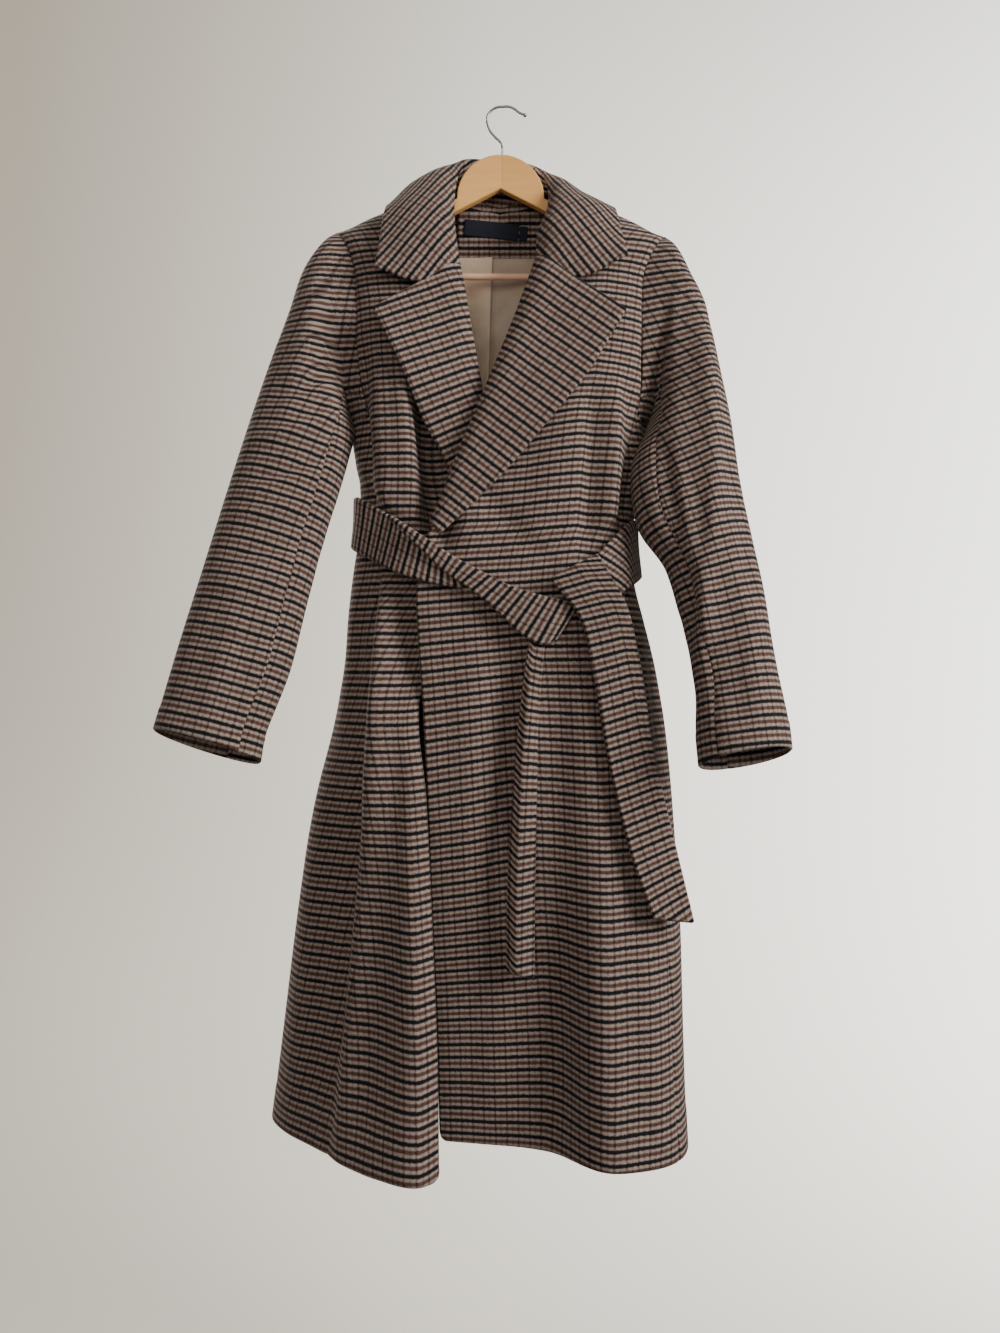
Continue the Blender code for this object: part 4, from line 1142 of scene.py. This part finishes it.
def wide_slant(across, run):
    """The check rises to the right, more so near the cut end, and is level past a soft crease."""
    rise = np.interp(run, (0, 51, 114, 222, 318, 384), (-0.26, -0.18, -0.10, -0.02, 0.26, 0.60))
    crease = across[:, -1:] * np.interp(run, (0, 60, 384), (0.55, 0.70, 1.0))
    return across * rise - np.maximum(across - crease, 0) * 0.30


def wrap_slant(across, run):
    """Beside the knot the belt climbs to the side, and its check leans with it."""
    return -across * 0.80 * (1 - step(70, 150, run))


def inside_back(left, right, last, columns, levels_of, inset):
    """A grid on the inside of both backs, out to a place on each, at the levels of each place."""
    columns = [
        [half.at_level(place, level, -inset(level)) for level in levels_of(half, place)]
        for half, place in across_back(left, right, np.linspace(0, last, columns))
    ]
    return np.array(columns)


def neck_facing(left, right):
    """The wool facing inside the back of the neck."""

    def levels_of(half, place):
        return np.linspace(half.at(place, half.top)[2] + FACING_TOP, FACING_BOTTOM, 24)

    grid = inside_back(left, right, 0.66, 16, levels_of, lambda level: FACING_INSET)
    sewn("neck_facing", grid, FACING_WALL, np.stack([arc(grid), grid[..., 2] + 3.0], -1))


def lining(left, right):
    """The satin, with the pleat down its middle that gives the back room to move."""
    levels = np.linspace(LINING_TOP + 3.0, LINING_BOTTOM, 70)

    def inset(level):
        return LINING_INSET + LINING_DROOP * step(0, 70, LINING_TOP - level)

    grid = inside_back(left, right, 1.4, 110, lambda half, place: levels, inset)
    u = arc(grid)
    x, z = grid[..., 0], grid[..., 2]
    past = x - np.interp(z, (LINING_BOTTOM, LINING_TOP), PLEAT_X)
    lap = 4.0 * np.exp(np.minimum(past, 0) / 20.0) * (1 - step(-0.9, 0.9, past))
    waves = 0.7 * np.sin(x / 11.0 + z / 60.0) + 0.9 * np.sin(x / 19.0 - z / 21.0 + np.sin(z / 37.0))
    tilted = 0.24 * np.clip(past, 0, 40)
    grid[..., 1] -= lap + (tilted + 1.4 * waves) * step(0, 30, LINING_TOP - z)
    # Across, the satin's map counts from the pleat, where its painted shadow starts.
    at_pleat = [np.interp(0, row_past, row_u) for row_past, row_u in zip(past.T, u.T)]
    uv = np.stack([u - at_pleat, z], -1)
    dress(shell("lining", grid, LINING_WALL, uv), SATIN, "lining_satin", "lining")


def neck_patch(name, left, right, centre, size, columns):
    """A flat patch on the inside of the neck facing, by its middle and its size."""
    inset = FACING_INSET + FACING_WALL / 2 + LABEL_WALL / 2 + PATCH_GAP
    cosine, sine = math.cos(LABEL_TILT), math.sin(LABEL_TILT)
    grid, uv = [], []
    for u in np.linspace(-size[0] / 2, size[0] / 2, columns):
        for v in np.linspace(size[1] / 2, -size[1] / 2, PATCH_ROWS):
            x, level = centre[0] + u * cosine - v * sine, centre[1] + u * sine + v * cosine
            half = left if x < CENTRE_X else right
            blade = half.at_level(BLADE, level)[0]
            grid.append(half.at_level((x - CENTRE_X) / (blade - CENTRE_X), level, -inset))
            uv.append((u, v))
    grid, uv = (np.reshape(values, (columns, PATCH_ROWS, -1)) for values in (grid, uv))
    dress(shell(name, grid, LABEL_WALL, uv), LABEL_CLOTH, "label_cloth", name)


def wood_outline():
    """The right half of the hanger's flat outline: a round head, an arm and a notched underside."""
    middle = HEAD_TOP - HEAD_RADIUS
    turns = np.radians(np.arange(0, 91, 3))
    head = [(HEAD_RADIUS * math.sin(turn), middle + HEAD_RADIUS * math.cos(turn)) for turn in turns]
    shoulder = [(x, ARM_TOP - (x - ARM_START) * ARM_SLOPE) for x in (ARM_START, 130, ARM_END - 12)]
    low = shoulder[-1][1]
    tip = ((-4, -5), (0, -16), (0, -46), (-5, -58), (-14, -61), (-26, -55))
    tip = [(ARM_END + x, low + z) for x, z in tip]
    return head + shoulder + tip + [(125, -166), (55, -128), (0, -100)]


def line_curve(name, points, **settings):
    """A curve object of one straight-sided spline through points."""
    curve = bpy.data.curves.new(name, "CURVE")
    for key, value in settings.items():
        setattr(curve, key, value)
    spline = curve.splines.new("POLY")
    spline.points.add(len(points) - 1)
    for point, place in zip(spline.points, points):
        point.co = (*(np.array(place) * MM), 1)
    return placed(name, curve)


def hanger():
    """The flat wooden hanger with eased edges."""
    right = wood_outline()
    outline = [(x + CENTRE_X, z, 0) for x, z in right + [(-x, z) for x, z in right[-2:0:-1]]]
    turned = line_curve(
        "hanger_wood_turned",
        outline,
        dimensions="2D",
        fill_mode="BOTH",
        extrude=(WOOD_THICKNESS / 2 - EASED) * MM,
        bevel_depth=EASED * MM,
        bevel_resolution=3,
        offset=-EASED * MM,
    )
    turned.data.splines[0].use_cyclic_u = True
    turned.rotation_euler = (math.pi / 2, 0, 0)
    turned.location.y = WOOD_Y * MM
    bpy.context.view_layer.update()
    mesh = bpy.data.meshes.new_from_object(turned)
    mesh.transform(turned.matrix_world)
    bpy.data.objects.remove(turned)
    mesh.materials.clear()
    mesh.set_sharp_from_angle(angle=math.radians(40))
    dress(placed("hanger_wood_shaped", mesh), beech(), "hanger_wood", "hanger_wood")


def hook():
    """The bent wire hook with its small ball end."""
    steel = wire()
    route = along([(x, 0, z) for x, z in HOOK_ROUTE], np.linspace(0, len(HOOK_ROUTE) - 1, 110))
    bent = line_curve(
        "hanger_hook_wire",
        route,
        dimensions="3D",
        bevel_depth=WIRE_RADIUS * MM,
        bevel_resolution=5,
        use_fill_caps=True,
    )
    bent.data.materials.append(steel)
    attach(bent, "root")
    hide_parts("hanger_hook")
    mesh = bpy.data.meshes.new("hook_ball")
    work = bmesh.new()
    bmesh.ops.create_uvsphere(work, u_segments=24, v_segments=14, radius=BALL_RADIUS * MM)
    bmesh.ops.translate(work, verts=work.verts, vec=Vector(route[-1]) * MM)
    work.to_mesh(mesh)
    work.free()
    mesh.shade_smooth()
    dress(placed("hook_ball", mesh), steel, "hook_wire")


def bar():
    """The trouser bar keeps its solid and gets its wood."""
    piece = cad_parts["hanger_bar"]
    piece.data.materials.clear()
    piece.data.materials.append(bar_wood())


def room():
    """A round, pale room with a wide cove, painted darker on the left and brighter on the right as
    painted shade and light, and glowing with that paint as painted light. It lights nothing itself.
    """
    turns = np.radians(np.arange(0, 91, 5))
    cove = [(ROOM - COVE + COVE * math.sin(a), FLOOR + COVE - COVE * math.cos(a)) for a in turns]
    work = bmesh.new()
    ring = [work.verts.new((radius, 0, z)) for radius, z in ((0.0, FLOOR), *cove, (ROOM, WALL_TOP))]
    profile = ring + [work.edges.new(pair) for pair in zip(ring, ring[1:])]
    bmesh.ops.spin(
        work,
        geom=profile,
        axis=(0, 0, 1),
        cent=(0, 0, 0),
        angle=2 * math.pi,
        steps=96,
        use_merge=True,
    )
    bmesh.ops.remove_doubles(work, verts=work.verts[:], dist=1e-4)
    mesh = bpy.data.meshes.new("floor")
    work.to_mesh(mesh)
    work.free()
    mesh.shade_smooth()
    floor = placed("floor", mesh)
    floor.visible_diffuse = floor.visible_glossy = floor.visible_shadow = False
    n = Nodes("pale_floor")
    mottle = n.math("MULTIPLY_ADD", n.noise(n.solid_place(), 1.2), 0.015, 0.485)
    # Painted light and shade: the paint runs from dark on the left to bright on the right, as if
    # lit from the right.
    across = n.math("MULTIPLY_ADD", n.split(n.solid_place())[0], 0.22, 0.5)
    painted_wall_light = n.ramp(across, PAINTED_WALL_LIGHT)
    colour = n.tinted(painted_wall_light, mottle)
    # The room also glows with that paint: painted light, which only the camera sees.
    look = n.done(Base_Color=colour, Roughness=0.9, Emission_Color=painted_wall_light, Emission_Strength=0.42)
    mesh.materials.append(look)


def lighting():
    """A large soft light on the right, weaker fill, and the wall's own light."""
    world = bpy.data.worlds.new("room")
    world.use_nodes = True
    background = world.node_tree.nodes["Background"]
    background.inputs["Color"].default_value = (0.95, 0.92, 0.88, 1)
    background.inputs["Strength"].default_value = 0.24
    bpy.context.scene.world = world
    for name, (place, target, size, power, colour, spread) in LAMPS.items():
        light = bpy.data.lights.new(name, "AREA")
        light.shape = "RECTANGLE"
        light.size, light.size_y = size
        light.energy = power
        light.color = colour
        light.spread = math.radians(spread)
        lamp = placed(name, light)
        lamp.location = place
        lamp.rotation_euler = (Vector(target) - Vector(place)).to_track_quat("-Z", "Y").to_euler()
        lamp.visible_camera = False


camera = placed("camera", bpy.data.cameras.new("camera"))
camera.data.lens = 26
camera.data.sensor_width = 36
camera.location = (-0.0036, -1.16, -0.673)
camera.rotation_euler = (math.pi / 2, 0, 0)
bpy.context.scene.camera = camera

LEFT = Half("left", 1, LEFT_FRONT, LEFT_BACK)
RIGHT = Half("right", -1, RIGHT_FRONT, RIGHT_BACK)
body(LEFT, LEFT_LIFT)
body(RIGHT, RIGHT_LIFT)
sleeve(LEFT, LEFT_SLEEVE, LEFT_SLEEVE_CREASES)
sleeve(RIGHT, RIGHT_SLEEVE, RIGHT_SLEEVE_CREASES)
lapel(LEFT, LEFT_LAPEL)
lapel(RIGHT, RIGHT_LAPEL)
collar(LEFT, RIGHT)
belt("belt_wrap", belt_wrap(LEFT, RIGHT), wrap_slant)
belt("belt_turn", ribbon(BELT_TURN, 90))
belt("belt_tail_wide", ribbon(TAIL_WIDE, 130), wide_slant, wide_shape)
belt("belt_tail_narrow", ribbon(TAIL_NARROW, 110), narrow_slant, narrow_shape)
neck_facing(LEFT, RIGHT)
lining(LEFT, RIGHT)
neck_patch("neck_label", LEFT, RIGHT, LABEL_MIDDLE, LABEL_SIZE, 40)
neck_patch("size_tag", LEFT, RIGHT, TAG_MIDDLE, TAG_SIZE, 8)
hanger()
hook()
bar()
room()
lighting()
